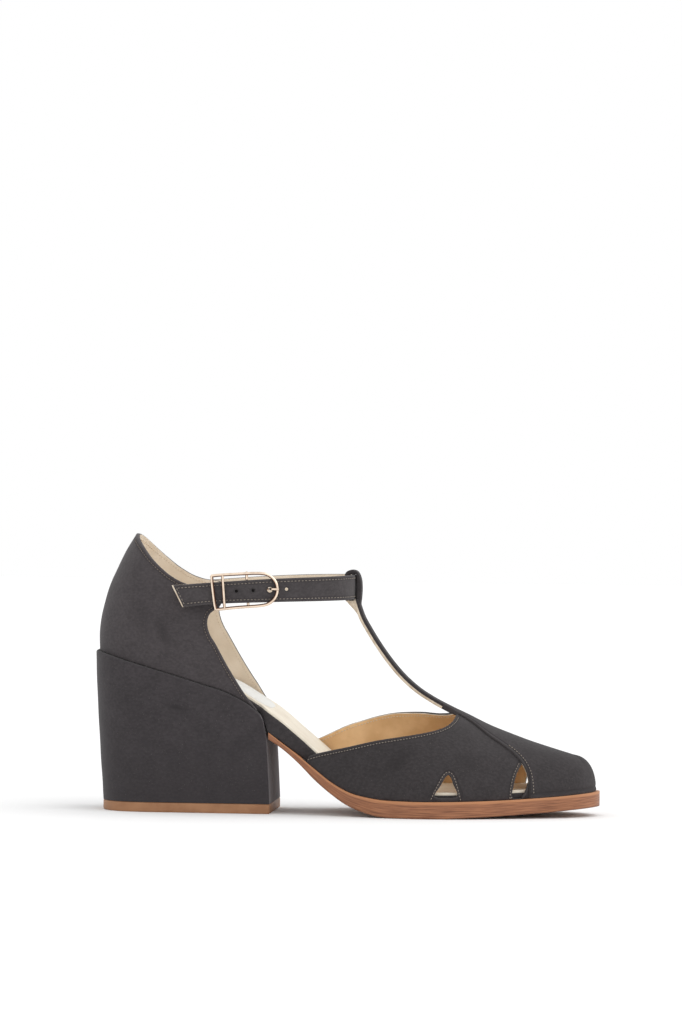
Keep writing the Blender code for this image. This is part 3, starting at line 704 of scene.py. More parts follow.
@dataclass(frozen=True)
class Last:
    """The form that the front upper is pulled over, and the seat line of its sole.

    Past fan the plan closes to a soft square end at tip, and the ridge ends at pole. Faces past the
    share foot stand foot_gap over the seat. Normals are read over steps of step_along and
    step_share, no nearer to the ends than end_gap and end_share.
    """

    fan: float = 168.0
    tip: float = 194.7
    pole: float = 184.0
    toe_centre: float = 3.3
    toe_square: float = 4.0
    sweep_from: float = 125.0
    sweep_over: float = 30.0
    foot: float = 0.985
    foot_gap: float = 0.2
    step_along: float = 0.05
    step_share: float = 0.004
    end_gap: float = 0.06
    end_share: float = 0.995
    seat: Table = Table(
        "x z", (39, 40.2), (47, 34.2), (55, 28.4), (63, 22.3), (71, 16.4), (79, 12.1), (92, 9.0),
        (108, 8.1), (125, 8.1), (150, 8.7), (175, 10.1), (198, 11.9),
    )
    width: Table = Table(
        "x lateral medial", (36, 24.8, 23.4), (46, 24.9, 22.6), (58, 26.6, 23.2), (70, 29.8, 25.8),
        (85, 34.6, 30.4), (100, 38.0, 34.4), (112, 39.2, 36.6), (125, 38.2, 37.2),
        (140, 34.4, 35.4), (155, 28.9, 31.8), (168, 23.4, 27.8), (180, 18.3, 23.8),
        (194.7, 12.0, 18.6),
    )
    crest: Table = Table(
        "x z y side crown", (46, 158, 0, 1.05, 1.0), (70, 126, 0, 1.05, 1.0),
        (79.6, 104, 0, 1.05, 1.0), (82.7, 95, 0, 1.05, 1.0), (86.3, 88.4, 0, 1.05, 1.0),
        (93.7, 77.0, 0, 1.05, 1.0), (101.6, 67.2, 0, 1.05, 1.0), (109.5, 60.0, 0, 1.05, 1.0),
        (117.4, 54.9, 0, 1.05, 1.0), (125.3, 50.8, 0.3, 1.02, 0.99), (132, 47.7, 0.5, 1.0, 0.98),
        (145, 41.6, 1.2, 0.95, 0.97), (160, 35.8, 2.0, 0.88, 0.93), (172, 31.8, 2.6, 0.82, 0.89),
        (184, 28.3, 3.2, 0.75, 0.85),
    )

    @property
    def span(self) -> float:
        """Length of the fan along the sole's edge."""
        return (self.tip - self.fan) * np.pi / 2

    def outline(self, x: Array, side: int, out: Array | float = 0.0, tip: float = 194.7) -> Array:
        """Plan outline of one side: the half-width, closed by a square-ended curve past the fan.

        Args:
            x: stations.
            side: sign of Y.
            out: how far the outline is grown.
            tip: where it closes.

        Returns:
            Y at each station.
        """
        half = self.width.read("lateral" if side < 0 else "medial", x)
        reach = side * (half + out)
        u = np.clip((np.asarray(x, float) - self.fan) / (tip - self.fan), 0, 1)
        fade = np.sqrt(1 - u**self.toe_square)
        return np.where(x < self.fan, reach, self.toe_centre + (reach - self.toe_centre) * fade)

    def surface(self, along: Array, share: Array) -> Array:
        """The upper's outer face, as a function of two parameters.

        A section is a superellipse from the sole's edge to the crest. Past the fan the sections
        turn, so that the last of them stands on the shoe's end.

        Args:
            along: place along the shoe.
            share: -1 at the lateral sole edge, 0 at the crest, 1 at the medial sole edge.

        Returns:
            The points.
        """
        along, share = np.broadcast_arrays(np.asarray(along, float), np.asarray(share, float))
        u = np.clip((along - self.fan) / self.span, 0, 1)
        toe, ridge = self.tip - self.fan, self.pole - self.fan
        foot_x = np.where(along < self.fan, along, self.fan + toe * np.sin(u * np.pi / 2))
        crest_x = self.fan + ridge * (1 - (1 - u) ** (self.span / ridge))
        crest_x = np.where(along < self.fan, along, crest_x)
        top_z = self.crest.read("z", crest_x)
        slope = self.crest.read("z", crest_x + 0.5) - self.crest.read("z", crest_x - 0.5)
        slope *= np.clip((crest_x - self.sweep_from) / self.sweep_over, 0, 1)
        foot_y = np.where(share < 0, self.outline(foot_x, -1), self.outline(foot_x, 1))
        turn = (1 - np.abs(share)) * np.pi / 2
        out = np.cos(turn) ** self.crest.read("side", crest_x)
        up = np.sin(turn) ** self.crest.read("crown", crest_x)
        crest_y = self.crest.read("y", crest_x)
        x = crest_x + (foot_x - crest_x) * out
        y = crest_y + (foot_y - crest_y) * out
        foot_z = self.seat.read("z", foot_x)
        return np.stack([x, y, foot_z * (1 - up) + (top_z + slope * (x - crest_x)) * up], -1)

    def normal(self, along: Array, share: Array) -> Array:
        """Outward normal of the surface, across small steps of its two parameters.

        Args:
            along: places along the shoe.
            share: shares of the section.

        Returns:
            The unit normals.
        """
        along, share = np.broadcast_arrays(np.asarray(along, float), np.asarray(share, float))
        a = np.clip(along, None, self.fan + self.span - self.end_gap)
        s = np.clip(share, -self.end_share, self.end_share)
        run = self.surface(a + self.step_along, s) - self.surface(a - self.step_along, s)
        across = self.surface(a, s + self.step_share) - self.surface(a, s - self.step_share)
        return unit(np.cross(run, across))

    def wall(
        self, along: Array, share: Array, outward: Array | float, inward: Array | float
    ) -> tuple[Array, Array]:
        """Offsets the surface both ways; the two faces end level on the sole.

        Args:
            along: place along the shoe, as a grid.
            share: share of the section, as a grid.
            outward: how far out the outer face lies.
            inward: how far in the inner face lies.

        Returns:
            The outer and the inner grid.
        """
        surface, normal = self.surface(along, share), self.normal(along, share)
        faces = []
        for distance in (outward, -np.asarray(inward, float)):
            grid = surface + np.broadcast_to(distance, along.shape)[..., None] * normal
            floor = self.seat.read("z", grid[..., 0]) + self.foot_gap
            grid[..., 2] = np.where(np.abs(share) > self.foot, floor, grid[..., 2])
            grid[-1] = (grid[-1] + grid[-1, ::-1]) / 2
            faces.append(grid)
        return faces[0], faces[1]

    def lift(self, line: Array, side: Side) -> tuple[Array, Array]:
        """Puts a line of the side view on the surface, behind the fan.

        The height gives the share, by the inverse of the section's superellipse.

        Args:
            line: x and z of its points.
            side: which side of the shoe.

        Returns:
            The points and the normals.
        """
        x, z = line[:, 0], line[:, 1]
        foot, top = self.seat.read("z", x), self.crest.read("z", x)
        up = np.clip((z - foot) / (top - foot), 0.0, self.end_share)
        turn = np.arcsin(up ** (1 / self.crest.read("crown", x)))
        share = side * (1 - turn * 2 / np.pi)
        return self.surface(x, share), self.normal(x, share)


@dataclass(frozen=True)
class FrontUpper:
    """Front upper: the side wall with its cut-outs, the toe piece with the T-bar, and the loop.

    The cut-outs lie beyond triangle_y and leaf_y. The toe piece has a ridge and a trough inside its
    edge, sewn from seam_from on. Up to bar_to the T-bar is free of the side wall. turned_low and
    turned_high are the box in which the nubuck covers the toe piece's rim.
    """

    last: Last = Last()
    thread: Thread = Thread()
    wall: float = 1.6
    rise: float = 1.0
    sink: float = 0.8
    tbar_thick: float = 2.5
    tbar_top: float = 80.0
    swell: float = 0.10
    bulge: float = 0.25
    inset: float = 1.6
    loop_half: float = 4.1
    loop_centre: tuple[float, float] = (78.3, 108.1)
    overlay_width: Table = Table(
        "along half", (80, 4.1), (100, 4.2), (118, 4.6), (125, 5.2), (130, 6.2)
    )
    overlay_edge: Table = Table(
        "along share", (130, 0.12), (136, 0.165), (146, 0.30), (153, 0.385), (158, 0.47),
        (161, 0.55), (163.2, 0.64), (164.6, 0.74), (165.4, 0.86), (165.8, 0.99),
    )
    topline_lateral: Table = Table(
        "x z", (54, 25.4), (58, 27.4), (65, 29.8), (78.4, 33.0), (94, 36.8), (108.8, 39.2),
        (118, 40.9), (123.5, 42.5), (126.8, 44.3), (128.9, 47.4), (129.8, 56),
    )
    topline_medial: Table = Table(
        "x z", (48, 29.6), (54, 31.6), (60.4, 33.9), (73, 39.9), (80.8, 42.5), (88.5, 44.9),
        (96.3, 46.6), (104.1, 47.3), (111.8, 47.6), (119, 47.3), (126, 48.2), (129.4, 51),
        (130.2, 58),
    )
    triangle: Corners = (
        (121.9, 10.6), (132.0, 10.6), (130.4, 16.4), (128.7, 20.4), (127.0, 20.4), (124.4, 16.0),
    )
    leaf: Corners = (
        (157.9, 10.4), (158.2, 14.6), (159.4, 20.4), (161.6, 25.6), (163.2, 26.4), (164.9, 22.2),
        (164.9, 17.2), (162.4, 10.4),
    )
    triangle_forward: float = 5.0
    leaf_forward: float = 2.6
    triangle_y: float = 26.0
    leaf_y: float = 12.0
    hole_inset: float = 1.35
    triangle_past: float = 0.4
    leaf_past: float = 0.5
    wall_from: float = 50.0
    fine_from: float = 116.0
    fine_bar: float = 128.0
    sky: float = 175.0
    ridge: float = 0.16
    ridge_in: float = 0.7
    trough: float = 0.22
    trough_in: float = 0.4
    trough_wide: float = 0.55
    seam_from: float = 122.0
    seam_over: float = 10.0
    bar_to: float = 130.0
    bar_over: float = 4.0
    seam_span: tuple[float, float] = (153.5, 165.7)
    turned_low: Triple = (122.0, -60.0, 26.0)
    turned_high: Triple = (200.0, 60.0, 80.0)
    loop: Corners = (
        (74.4, 103.0), (74.2, 112.4), (75.1, 115.4), (78.0, 116.4), (80.7, 115.3), (82.2, 111.8),
        (82.6, 107.5), (82.4, 103.0), (82.2, 99.0), (84.2, 93.0), (82.6, 92.8), (78.8, 97.4),
        (76.0, 100.4),
    )
    loop_hole: tuple[float, float] = (1.6, 6.15)
    creases: tuple[Crease, ...] = (
        Crease((96, 20), (112, 33), 4.0, 0.25),
        Crease((108, 17), (119, 30), 5.0, -0.2),
        Crease((98, 22), (112, 36), 4.0, 0.22, Side.MEDIAL),
        Crease((134, 30), (139, 22), 3.5, 0.15),
    )

    def throat(self, line: Table) -> Array:
        """Outline, in side view, of all that lies above one topline.

        Args:
            line: the topline.

        Returns:
            The closed outline's points.
        """
        edge = rounded(line.corners(), 5)
        end_x, (start_x, start_z) = edge[-1, 0] + 2, edge[0] - (14, 1)
        return np.vstack([edge, [(end_x, self.sky), (start_x, self.sky), (start_x, start_z)]])

    def keep(self, surface: Array) -> Array:
        """Distance of points to the nearest cut in side view, below 0 where the wall is cut away.

        Args:
            surface: points of the upper.

        Returns:
            The field, at most FAR.
        """
        x, y, z = surface[..., 0], surface[..., 1], surface[..., 2]
        lateral = outline_distance(x, z, self.throat(self.topline_lateral))
        medial = outline_distance(x, z, self.throat(self.topline_medial))
        near = np.where(y < 0, lateral, medial)
        near = np.minimum(near, self.cut_outs(surface))
        return np.minimum(near - self.bulge, FAR)

    def cut_outs(self, surface: Array) -> Array:
        """Distance of points to the nearest cut-out in side view, below 0 inside it.

        Args:
            surface: points of the upper.

        Returns:
            The field, at most FAR.
        """
        x, y, z = surface[..., 0], surface[..., 1], surface[..., 2]
        near = np.full(x.shape, FAR)
        holes = (
            (self.triangle, self.triangle_y, self.triangle_forward),
            (self.leaf, self.leaf_y, self.leaf_forward),
        )
        for corners, reach, forward in holes:
            hole = outline_distance(x - forward * (y > 0), z, rounded(corners, 6, closed=True))
            near = np.where(np.abs(y) > reach, np.minimum(near, hole), near)
        return near

    def side_wall(self) -> Shape:
        """The wall: the last's surface with low swells and creases, cut by the toplines and holes.

        Returns:
            The closed sheet.
        """
        last = self.last
        toe = last.fan + last.span * np.arange(1, 49) / 48
        waist = np.arange(self.wall_from, self.fine_from, 0.95)
        along = np.concatenate([waist, np.linspace(self.fine_from, last.fan, 84), toe])
        even = np.linspace(-1, 1, 151)
        share = (even + np.sin(even * np.pi / 2)) / 2
        grid, up = np.meshgrid(along, share, indexing="ij")
        surface = last.surface(grid, up)
        lift, crease_shade = dents(self.creases, surface)
        outer, inner = last.wall(grid, up, waves(surface, self.swell) + lift, self.wall)
        keep = self.keep(surface)
        # The creases' mark carries their painted trough shade to the finish.
        marks = {"edge": keep, "crease_shade": crease_shade}
        return sheet(outer, inner, keep, marks, self.bulge, turned=4, close_end=True)

    def overlay_share(self, along: Array) -> Array:
        """Edge of the toe piece and T-bar as a share of the section.

        Args:
            along: places along the shoe.

        Returns:
            The share: from the bar's half-width up to the throat, then from the seam's table.
        """
        half = self.overlay_width.read("half", along)
        reach = np.minimum(-self.last.outline(along, -1), self.last.outline(along, 1))
        narrow = 2 / np.pi * np.arcsin(np.clip(half / reach, 0, 1))
        blend = np.clip((along - self.bar_to + self.bar_over) / self.bar_over, 0, 1)
        return narrow * (1 - blend) + self.overlay_edge.read("share", along) * blend

    def toe_piece(self) -> Shape:
        """The raised toe piece and T-bar, with a folded ridge and a stitched trough at its edge.

        Returns:
            The closed sheet. The nubuck covers its whole rim past the throat.
        """
        last = self.last
        toe = last.fan + last.span * np.arange(1, 57) / 56
        bar = np.linspace(self.tbar_top, self.fine_bar, 60)[:-1]
        along = np.concatenate([bar, np.linspace(self.fine_bar, last.fan, 74), toe])
        even = np.sin(np.linspace(-1, 1, 81) * np.pi / 2)
        grid = np.repeat(along[:, None], len(even), axis=1)
        up = self.overlay_share(along)[:, None] * even
        surface = last.surface(grid, up)
        across = run_length(surface)
        depth = np.minimum(across, across[:, -1:] - across)
        seamed = np.clip((grid - self.seam_from) / self.seam_over, 0, 1)
        fold = self.ridge * np.exp(-(((depth - self.ridge_in) / self.ridge_in) ** 2))
        groove = (depth - self.inset - self.trough_in) / self.trough_wide
        fold -= self.trough * np.exp(-(groove**2)) * seamed
        free = np.clip((self.bar_to - grid) / self.bar_over, 0, 1)
        inward = self.sink * (1 - free) + (self.tbar_thick - self.rise) * free
        outward = self.rise + fold + waves(surface, self.swell) * seamed
        outer, inner = last.wall(grid, up, outward, inward)
        keep = np.where(surface[..., 1] > self.leaf_y, self.cut_outs(surface) - self.bulge, FAR)
        edge = np.minimum(np.where(grid > self.seam_from, depth, depth + 3), keep)
        shape = sheet(outer, inner, keep, {"edge": edge}, self.bulge, turned=3, close_end=True)
        return shape.cover_edges(self.turned_low, self.turned_high)

    def strap_loop(self) -> Shape:
        """The loop over the ankle strap: a band between two closed curves, with soft edges.

        Both curves are read along rays from the loop's centre. A section goes from the outer curve
        to the inner one, over a rounded rectangle as wide as the T-bar.

        Returns:
            The closed shape, with the turned end of the bar in the edge zone.
        """
        outer = rounded(self.loop, 16, closed=True)
        centre = np.array(self.loop_centre)
        arms = outer - centre
        angle = np.arctan2(arms[:, 1], arms[:, 0])
        corner = np.array(self.loop_hole)
        ray = np.stack([np.cos(angle), np.sin(angle)], -1)
        reach = np.min(corner / np.maximum(np.abs(ray), 1e-6), axis=1)
        inner = centre + ray * reach[:, None]
        turn = np.linspace(0, 2 * np.pi, 33)[:-1]
        across = np.sign(np.cos(turn)) * np.abs(np.cos(turn)) ** 0.3 * self.loop_half
        depth = (1 - np.sign(np.sin(turn)) * np.abs(np.sin(turn)) ** 0.35) / 2
        flat = outer[:, None] * (1 - depth[None, :, None]) + inner[:, None] * depth[None, :, None]
        rings = np.stack([flat[..., 0], np.broadcast_to(across, flat.shape[:2]), flat[..., 1]], -1)
        shape = loft(rings, closed=True)
        middle = shape.points[shape.polygons[0]].mean(1)
        front = np.interp(middle[:, 2], (92.8, 99.0, 107.5), (84.2, 82.2, 82.6))
        turned = (middle[:, 2] < 101.6) & (middle[:, 0] < front - 1.9)
        shape.zones[0] = np.where(turned, Zone.EDGE, Zone.OUTSIDE)
        shape.marks["edge"] = np.full(len(shape.points), BARE)
        return shape

    def seams(self) -> tuple[Shape, Shape]:
        """Sews the toplines, the cut-outs and the toe piece's edge.

        Returns:
            The stitches outside and those on the lining.
        """
        last, outside, inside = self.last, [], []
        for side, table in zip(Side, (self.topline_lateral, self.topline_medial)):
            line = rounded(table.corners(), 6)
            seat = last.seat.read("z", line[:, 0])
            crest = last.crest.read("z", line[:, 0])
            line = line[(line[:, 1] > seat + 2.2) & (line[:, 1] < crest - 0.6)]
            points, normal = last.lift(line, side)
            over = self.thread.over * normal
            outside.append(self.thread.row(points + over, normal, side * self.inset))
            lining = points - self.wall * normal - over
            inside.append(self.thread.row(lining, -normal, -side * self.inset))
            low, leaf = np.array(self.triangle), np.array(self.leaf)
            ends = beyond(low[:2], low[[5, 2]], self.triangle_past)
            tent = np.vstack([ends[0], low[0], low[:0:-1], ends[1]])
            blade = np.vstack([beyond(leaf[0], leaf[1], self.leaf_past), leaf[:4]])
            for corners, forward in ((tent, self.triangle_forward), (blade, self.leaf_forward)):
                line = rounded(corners, 8) + (forward * (side > 0), 0.0)
                points, normal = last.lift(line, side)
                points = points + self.thread.over * normal
                outside.append(self.thread.row(points, normal, -side * self.hole_inset))
            along = np.linspace(*self.seam_span, 40)
            share = side * self.overlay_share(along)
            normal = last.normal(along, share)
            points = last.surface(along, share) + (self.rise + self.thread.over) * normal
            inset = self.inset + 0.2 + self.leaf_forward * (side > 0)
            outside.append(self.thread.row(points, normal, -side * inset))
        return outside[0].join(*outside[1:]), inside[0].join(*inside[1:])


@dataclass(frozen=True)
class RearUpper:
    """Rear upper: a hollow U on the heel's slanted top, cut to each side's topline and front."""

    thread: Thread = Thread()
    wall: float = 1.8
    front: float = 38.0
    square: float = 2.15
    bulge: float = 0.25
    inset: float = 1.6
    swell: float = 0.16
    seam_top: float = 131.5
    seam_low: float = 3.0
    beyond_fronts: Corners = ((44.0, 36.0), (60.0, 160.0), (-30.0, 160.0))
    sections: Table = Table(
        "h back half round", (0.3, -43.8, 24.1, 27), (9, -43.9, 24.5, 27), (17, -43.1, 24.6, 27),
        (25, -41.3, 24.4, 26), (34, -38.7, 24.0, 25), (43, -35.1, 23.5, 24), (52, -31.2, 23.1, 23),
        (63, -25.5, 22.6, 22),
    )
    edge_lateral: Table = Table(
        "x z", (-27.6, 134.6), (-26.4, 132.3), (-22.6, 127.7), (-17.5, 121.9), (-12.5, 117.2),
        (-7.0, 112.9), (-1.0, 109.8), (6.0, 107.9), (13.0, 107.2), (17.0, 106.0), (17.0, 99.6),
        (14.0, 97.0), (11.6, 94.9), (10.6, 91.6), (10.9, 88.2), (12.4, 84.4), (14.9, 80.6),
        (19.8, 71.6), (24.2, 64.4), (28.1, 58.3), (32.0, 53.1), (35.4, 48.9), (37.0, 45.0),
    )
    edge_medial: Table = Table(
        "x z", (-27.6, 134.6), (-26.4, 132.5), (-21.0, 126.6), (-17.1, 122.9), (-13.1, 119.5),
        (-9.2, 116.5), (-5.3, 114.0), (-1.3, 111.9), (4.0, 110.2), (10.0, 109.4), (13.4, 107.4),
        (12.6, 100.6), (10.9, 96.4), (11.6, 91.6), (13.4, 87.2), (15.6, 83.4), (21.6, 73.0),
        (26.6, 65.0), (30.4, 59.4), (33.4, 54.6), (36.2, 50.4), (37.4, 46.0),
    )
    creases: tuple[Crease, ...] = (
        Crease((-13, 92), (-8, 79), 2.6, 0.32),
        Crease((-22, 100), (-18, 84), 3.5, 0.2),
        Crease((-2, 96), (3, 82), 4.0, -0.2),
        Crease((-10, 90), (-4, 76), 3.2, 0.28, Side.MEDIAL),
        Crease((-24, 104), (-20, 88), 3.6, 0.2, Side.MEDIAL),
    )

    def face(self, inset: float) -> Array:
        """Grid of the wall's face: U sections, a superellipse behind and straight in front.

        Args:
            inset: how far the face is drawn in.

        Returns:
            The points, from the low row up, from the lateral front round to the medial one.
        """
        h = np.concatenate([[0.3], np.linspace(1.2, 63, 86)])[:, None]
        back, half, length = (self.sections.read(name, h) for name in ("back", "half", "round"))
        back, half, length = back + inset, half - inset, length - inset
        turn = np.linspace(0, np.pi / 2, 52)[None]
        x = back + length * (1 - np.cos(turn) ** (2 / self.square))
        y = half * np.sin(turn) ** (2 / self.square)
        run = np.linspace(0, 1, 62)[None, 1:]
        x = np.hstack([x, back + length + (self.front - back - length) * run])
        y = np.hstack([y, half * np.ones_like(run)])
        x, y = np.hstack([x[:, ::-1], x[:, 1:]]), np.hstack([-y[:, ::-1], y[:, 1:]])
        return np.stack([x, y, HEEL_RAMP.read("z", x) + h], -1)

    def reach(self, x: Array, z: Array, inset: float) -> Array:
        """Half-width of the wall at places of the side view.

        Args:
            x: places along the shoe.
            z: heights.
            inset: how far the face is drawn in.

        Returns:
            The half-width, from the section's superellipse.
        """
        h = z - HEEL_RAMP.read("z", x)
        back, half, length = (self.sections.read(name, h) for name in ("back", "half", "round"))
        u = np.clip((back + length - x) / (length - inset), 0, 0.999)
        return (half - inset) * (1 - u**self.square) ** (1 / self.square)

    def lift(self, line: Array, side: Side, inset: float = 0.0) -> tuple[Array, Array]:
        """Puts a line of the side view on the wall.

        Args:
            line: x and z of its points.
            side: which side of the shoe.
            inset: how far the face is drawn in.

        Returns:
            The points and the outward normals, from the slopes of the half-width in x and z.
        """
        x, z, step = line[:, 0], line[:, 1], 0.1
        slope_x = (self.reach(x + step, z, inset) - self.reach(x - step, z, inset)) / (2 * step)
        slope_z = (self.reach(x, z + step, inset) - self.reach(x, z - step, inset)) / (2 * step)
        points = np.stack([x, side * self.reach(x, z, inset), z], -1)
        return points, unit(np.stack([-slope_x, np.full(len(x), float(side)), -slope_z], -1))

    def shape(self) -> Shape:
        """The wall as a sheet, with low swells and creases, cut along the toplines and fronts.

        Returns:
            The closed sheet.
        """
        outer, inner = self.face(0.0), self.face(self.wall)
        lift, crease_shade = dents(self.creases, outer)
        relief = waves(outer, self.swell) + lift
        x, y, z = outer[..., 0], outer[..., 1], outer[..., 2]
        fields = []
        for table in (self.edge_lateral, self.edge_medial):
            cut = np.vstack([rounded(table.corners(), 4), self.beyond_fronts])
            fields.append(outline_distance(x, z, cut))
        keep = np.minimum(np.where(y < 0, fields[0], fields[1]) - self.bulge, FAR)
        outer = outer + relief[..., None] * unit(outer - inner)
        # The creases' mark carries their painted trough shade to the finish.
        return sheet(outer, inner, keep, {"edge": keep, "crease_shade": crease_shade}, self.bulge, RIM_ROWS)

    def seams(self) -> tuple[Shape, Shape]:
        """Sews along both toplines and fronts.

        Returns:
            The stitches outside and those on the lining.
        """
        outside, inside = [], []
        for side, table in zip(Side, (self.edge_lateral, self.edge_medial)):
            line = rounded(table.corners(), 6)
            above_ramp = line[:, 1] - HEEL_RAMP.read("z", line[:, 0])
            line = line[(line[:, 1] < self.seam_top) & (above_ramp > self.seam_low)]
            points, normal = self.lift(line, side)
            outside.append(self.thread.row(points + 0.08 * normal, normal, side * self.inset))
            points, normal = self.lift(line, side, self.wall)
            inside.append(self.thread.row(points - 0.03 * normal, -normal, -side * self.inset))
        return outside[0].join(*outside[1:]), inside[0].join(*inside[1:])


@dataclass(frozen=True)
class Heel:
    """Covered block heel with its top piece.

    The block starts tip_gap over the top piece and ends rim_share and ramp_share of its soft edge's
    radius inside its front and under the slanted top. tip_rows holds the inset and height of the
    top piece's rows.
    """

    tip_thick: float = 4.5
    tip_gap: float = 0.3
    rim_share: float = 0.7
    ramp_share: float = 1.05
    swell: float = 0.1
    bend_columns: int = 5
    round_length: float = 27.0
    square: float = 2.5
    edge_round: float = 0.8
    corner: float = 1.2
    front: Table = Table(
        "z x", (4.6, 41.4), (20, 40.6), (30, 39.95), (37, 39.4), (41.2, 38.6), (45.0, 37.6),
        (47.6, 36.2),
    )
    body: Table = Table(
        "z back half", (4.6, -41.2, 25.2), (20, -42.3, 25.4), (39, -43.5, 25.7), (58, -44.7, 25.9),
        (79, -45.4, 26.0),
    )
    tip_rows: Corners = (
        (0.6, 0.0), (0.25, 0.08), (0.05, 0.3), (0.0, 0.6), (0.0, 2.0), (0.0, 3.4), (0.03, 4.2),
        (0.2, 4.6), (0.7, 4.8),
    )
    creases: tuple[Crease, ...] = (
        Crease((-7, 50.8), (1, 49.3), 1.3, 0.42),
        Crease((-30, 60), (-18, 40), 6.0, 0.12),
        Crease((10, 44), (24, 28), 7.0, -0.12),
        Crease((-20, 30), (4, 22), 6.0, 0.12, Side.MEDIAL),
    )

    def reach(self, x: Array, z: Array) -> tuple[Array, Array]:
        """Half-width of the block, and the horizontal normal of its lateral wall.

        Args:
            x: places along the shoe.
            z: heights.

        Returns:
            The half-width, a superellipse behind and straight in front, and the normal's x and y.
        """
        back, half = self.body.read("back", z), self.body.read("half", z)
        u = np.clip((back + self.round_length - x) / self.round_length, 0, 1)
        y = half * (1 - u**self.square) ** (1 / self.square)
        out_x = -(u ** (self.square - 1)) / self.round_length
        out_y = -((y / half) ** (self.square - 1)) / half
        return y, unit(np.stack([out_x, out_y], -1))

    def block(self) -> Shape:
        """The covered block, as a side patch, a soft edge and a strip over its top and breast.

        The side patch runs from the breast to the back and from the floor to the slanted top: its
        x blends between the two end lines, and its z rises in even shares of the top's height. The
        soft edge is a quarter circle between the patch and the strip, which goes straight across.

        Returns:
            The closed shape.
        """
        r, low = self.edge_round, self.tip_thick + self.tip_gap
        u = np.linspace(0, 1, 90)[:, None]
        v = np.linspace(0, 1, 64)[None]
        f = 1 - np.sin(u * np.pi / 2)
        top_x, top_z = self.front.columns["x"][-1], self.front.columns["z"][-1]
        front = top_x - self.rim_share * r
        top = np.full_like(u, top_z)
        # The top's height gives the back's place, and that the height again, until both agree.
        for _ in range(6):
            back = self.body.read("back", top)
            top = HEEL_RAMP.read("z", back + (front - back) * f) - self.ramp_share * r
        top[0] = top_z - self.rim_share * r
        z = low + v * (top - low)
        back = self.body.read("back", z)
        x = back + (self.front.read("x", z) - r - back) * f
        half, out = self.reach(x, z)
        walls, dark = [], []
        for side in Side:
            wall = np.stack([x, side * half, z], -1)
            lift, crease_shade = dents(self.creases, wall)
            dark.append(crease_shade)
            relief = lift + waves(wall, self.swell)
            fade = np.clip(np.minimum((1 - v) * 8, u * 12), 0, 1) * np.clip(v * 8, 0, 1)
            outward = np.stack([out[..., 0], -side * out[..., 1], np.zeros_like(z)], -1)
            walls.append(wall + (relief * fade)[..., None] * outward)
        rims = [np.vstack([wall[0], wall[1:, -1]]) for wall in walls]
        rim_out = np.vstack([out[0], out[1:, -1]])
        heading = np.gradient(rims[0][:, (0, 2)], axis=0)
        level = np.zeros(len(heading))
        up = unit(np.stack([heading[:, 1], level, -heading[:, 0]], -1))
        turn = np.linspace(0, np.pi / 2, self.bend_columns + 1)[None, :, None]
        rise, fall = up[:, None] * np.sin(turn), 1 - np.cos(turn)
        outs = [np.stack([rim_out[:, 0], -side * rim_out[:, 1], level], -1) for side in Side]
        arc_l, arc_m = (a[:, None] + r * (rise - b[:, None] * fall) for a, b in zip(rims, outs))
        q = np.linspace(0, 1, 25)[None, 1:-1, None]
        strip = arc_l[:, -1:] * (1 - q) + arc_m[:, -1:] * q
        cover = np.concatenate([arc_l, strip, arc_m[:, ::-1]], 1)
        grids = [walls[0], walls[1][:, ::-1], cover[:, ::-1]]
        sizes = np.cumsum([0] + [grid[..., 0].size for grid in grids])
        spans = zip(grids, sizes, sizes[1:])
        index = [np.arange(start, end).reshape(grid.shape[:2]) for grid, start, end in spans]
        base = np.concatenate([index[0][:, 0], index[1][::-1, -1], index[2][0, :]])
        polygons = [grid_quads(numbers) for numbers in index] + [base[None, ::-1]]
        points = np.vstack([grid.reshape(-1, 3) for grid in grids])
        zones = [np.zeros(len(block), int) for block in polygons]
        # The breast mark is where the finish paints light on the flat breast, which faces the light.
        front = np.zeros(cover.shape[:2])
        flat = slice(self.bend_columns, -self.bend_columns)
        front[:, flat] = cover[:, flat, 2] < top_z
        breast = np.concatenate([np.zeros(sizes[2]), front.ravel()])
        # The creases' mark carries their painted trough shade to the finish.
        crease_shade = np.concatenate([dark[0].ravel(), dark[1][:, ::-1].ravel(), np.zeros(front.size)])
        marks = {"edge": np.full(len(points), BARE), "breast": breast, "crease_shade": crease_shade}
        return Shape(points, polygons, zones, points[:, (0, 2)], marks).outward()

    def outline(self, z: float) -> Array:
        """Plan outline of the block at one height: the U, then the breast with round corners.

        Args:
            z: the height.

        Returns:
            X and Y of its points, from the lateral front round the back to the medial one.
        """
        half = float(self.body.read("half", z))
        back, front = float(self.body.read("back", z)), float(self.front.read("x", z))
        turn = np.linspace(0, np.pi / 2, 60)
        x = back + self.round_length * (1 - np.cos(turn) ** (2 / self.square))
        y = half * np.sin(turn) ** (2 / self.square)
        run = np.linspace(back + self.round_length, front - self.corner, 30)[1:]
        bend = np.linspace(0, np.pi / 2, 7)[1:]
        x = np.concatenate([x, run, front - self.corner * (1 - np.sin(bend))])
        y = np.concatenate([y, np.full(len(run), half), half - self.corner * (1 - np.cos(bend))])
        return np.stack([np.concatenate([x[::-1], x[1:]]), np.concatenate([-y[::-1], y[1:]])], -1)

    def top_piece(self) -> Shape:
        """The top piece: the block's outline carried up, with its lower and upper edges rounded.

        Returns:
            The closed shape.
        """
        plan = self.outline(self.tip_thick)
        plan = resample(plan, np.linspace(0, 1, 260) * run_length(plan)[-1])
        heading = unit(np.roll(plan, -1, 0) - np.roll(plan, 1, 0))
        out = np.stack([heading[:, 1], -heading[:, 0]], -1)
        rings = [
            np.column_stack([plan + out * inset, np.full(len(plan), z)])
            for inset, z in self.tip_rows
        ]
        return loft(np.array(rings))


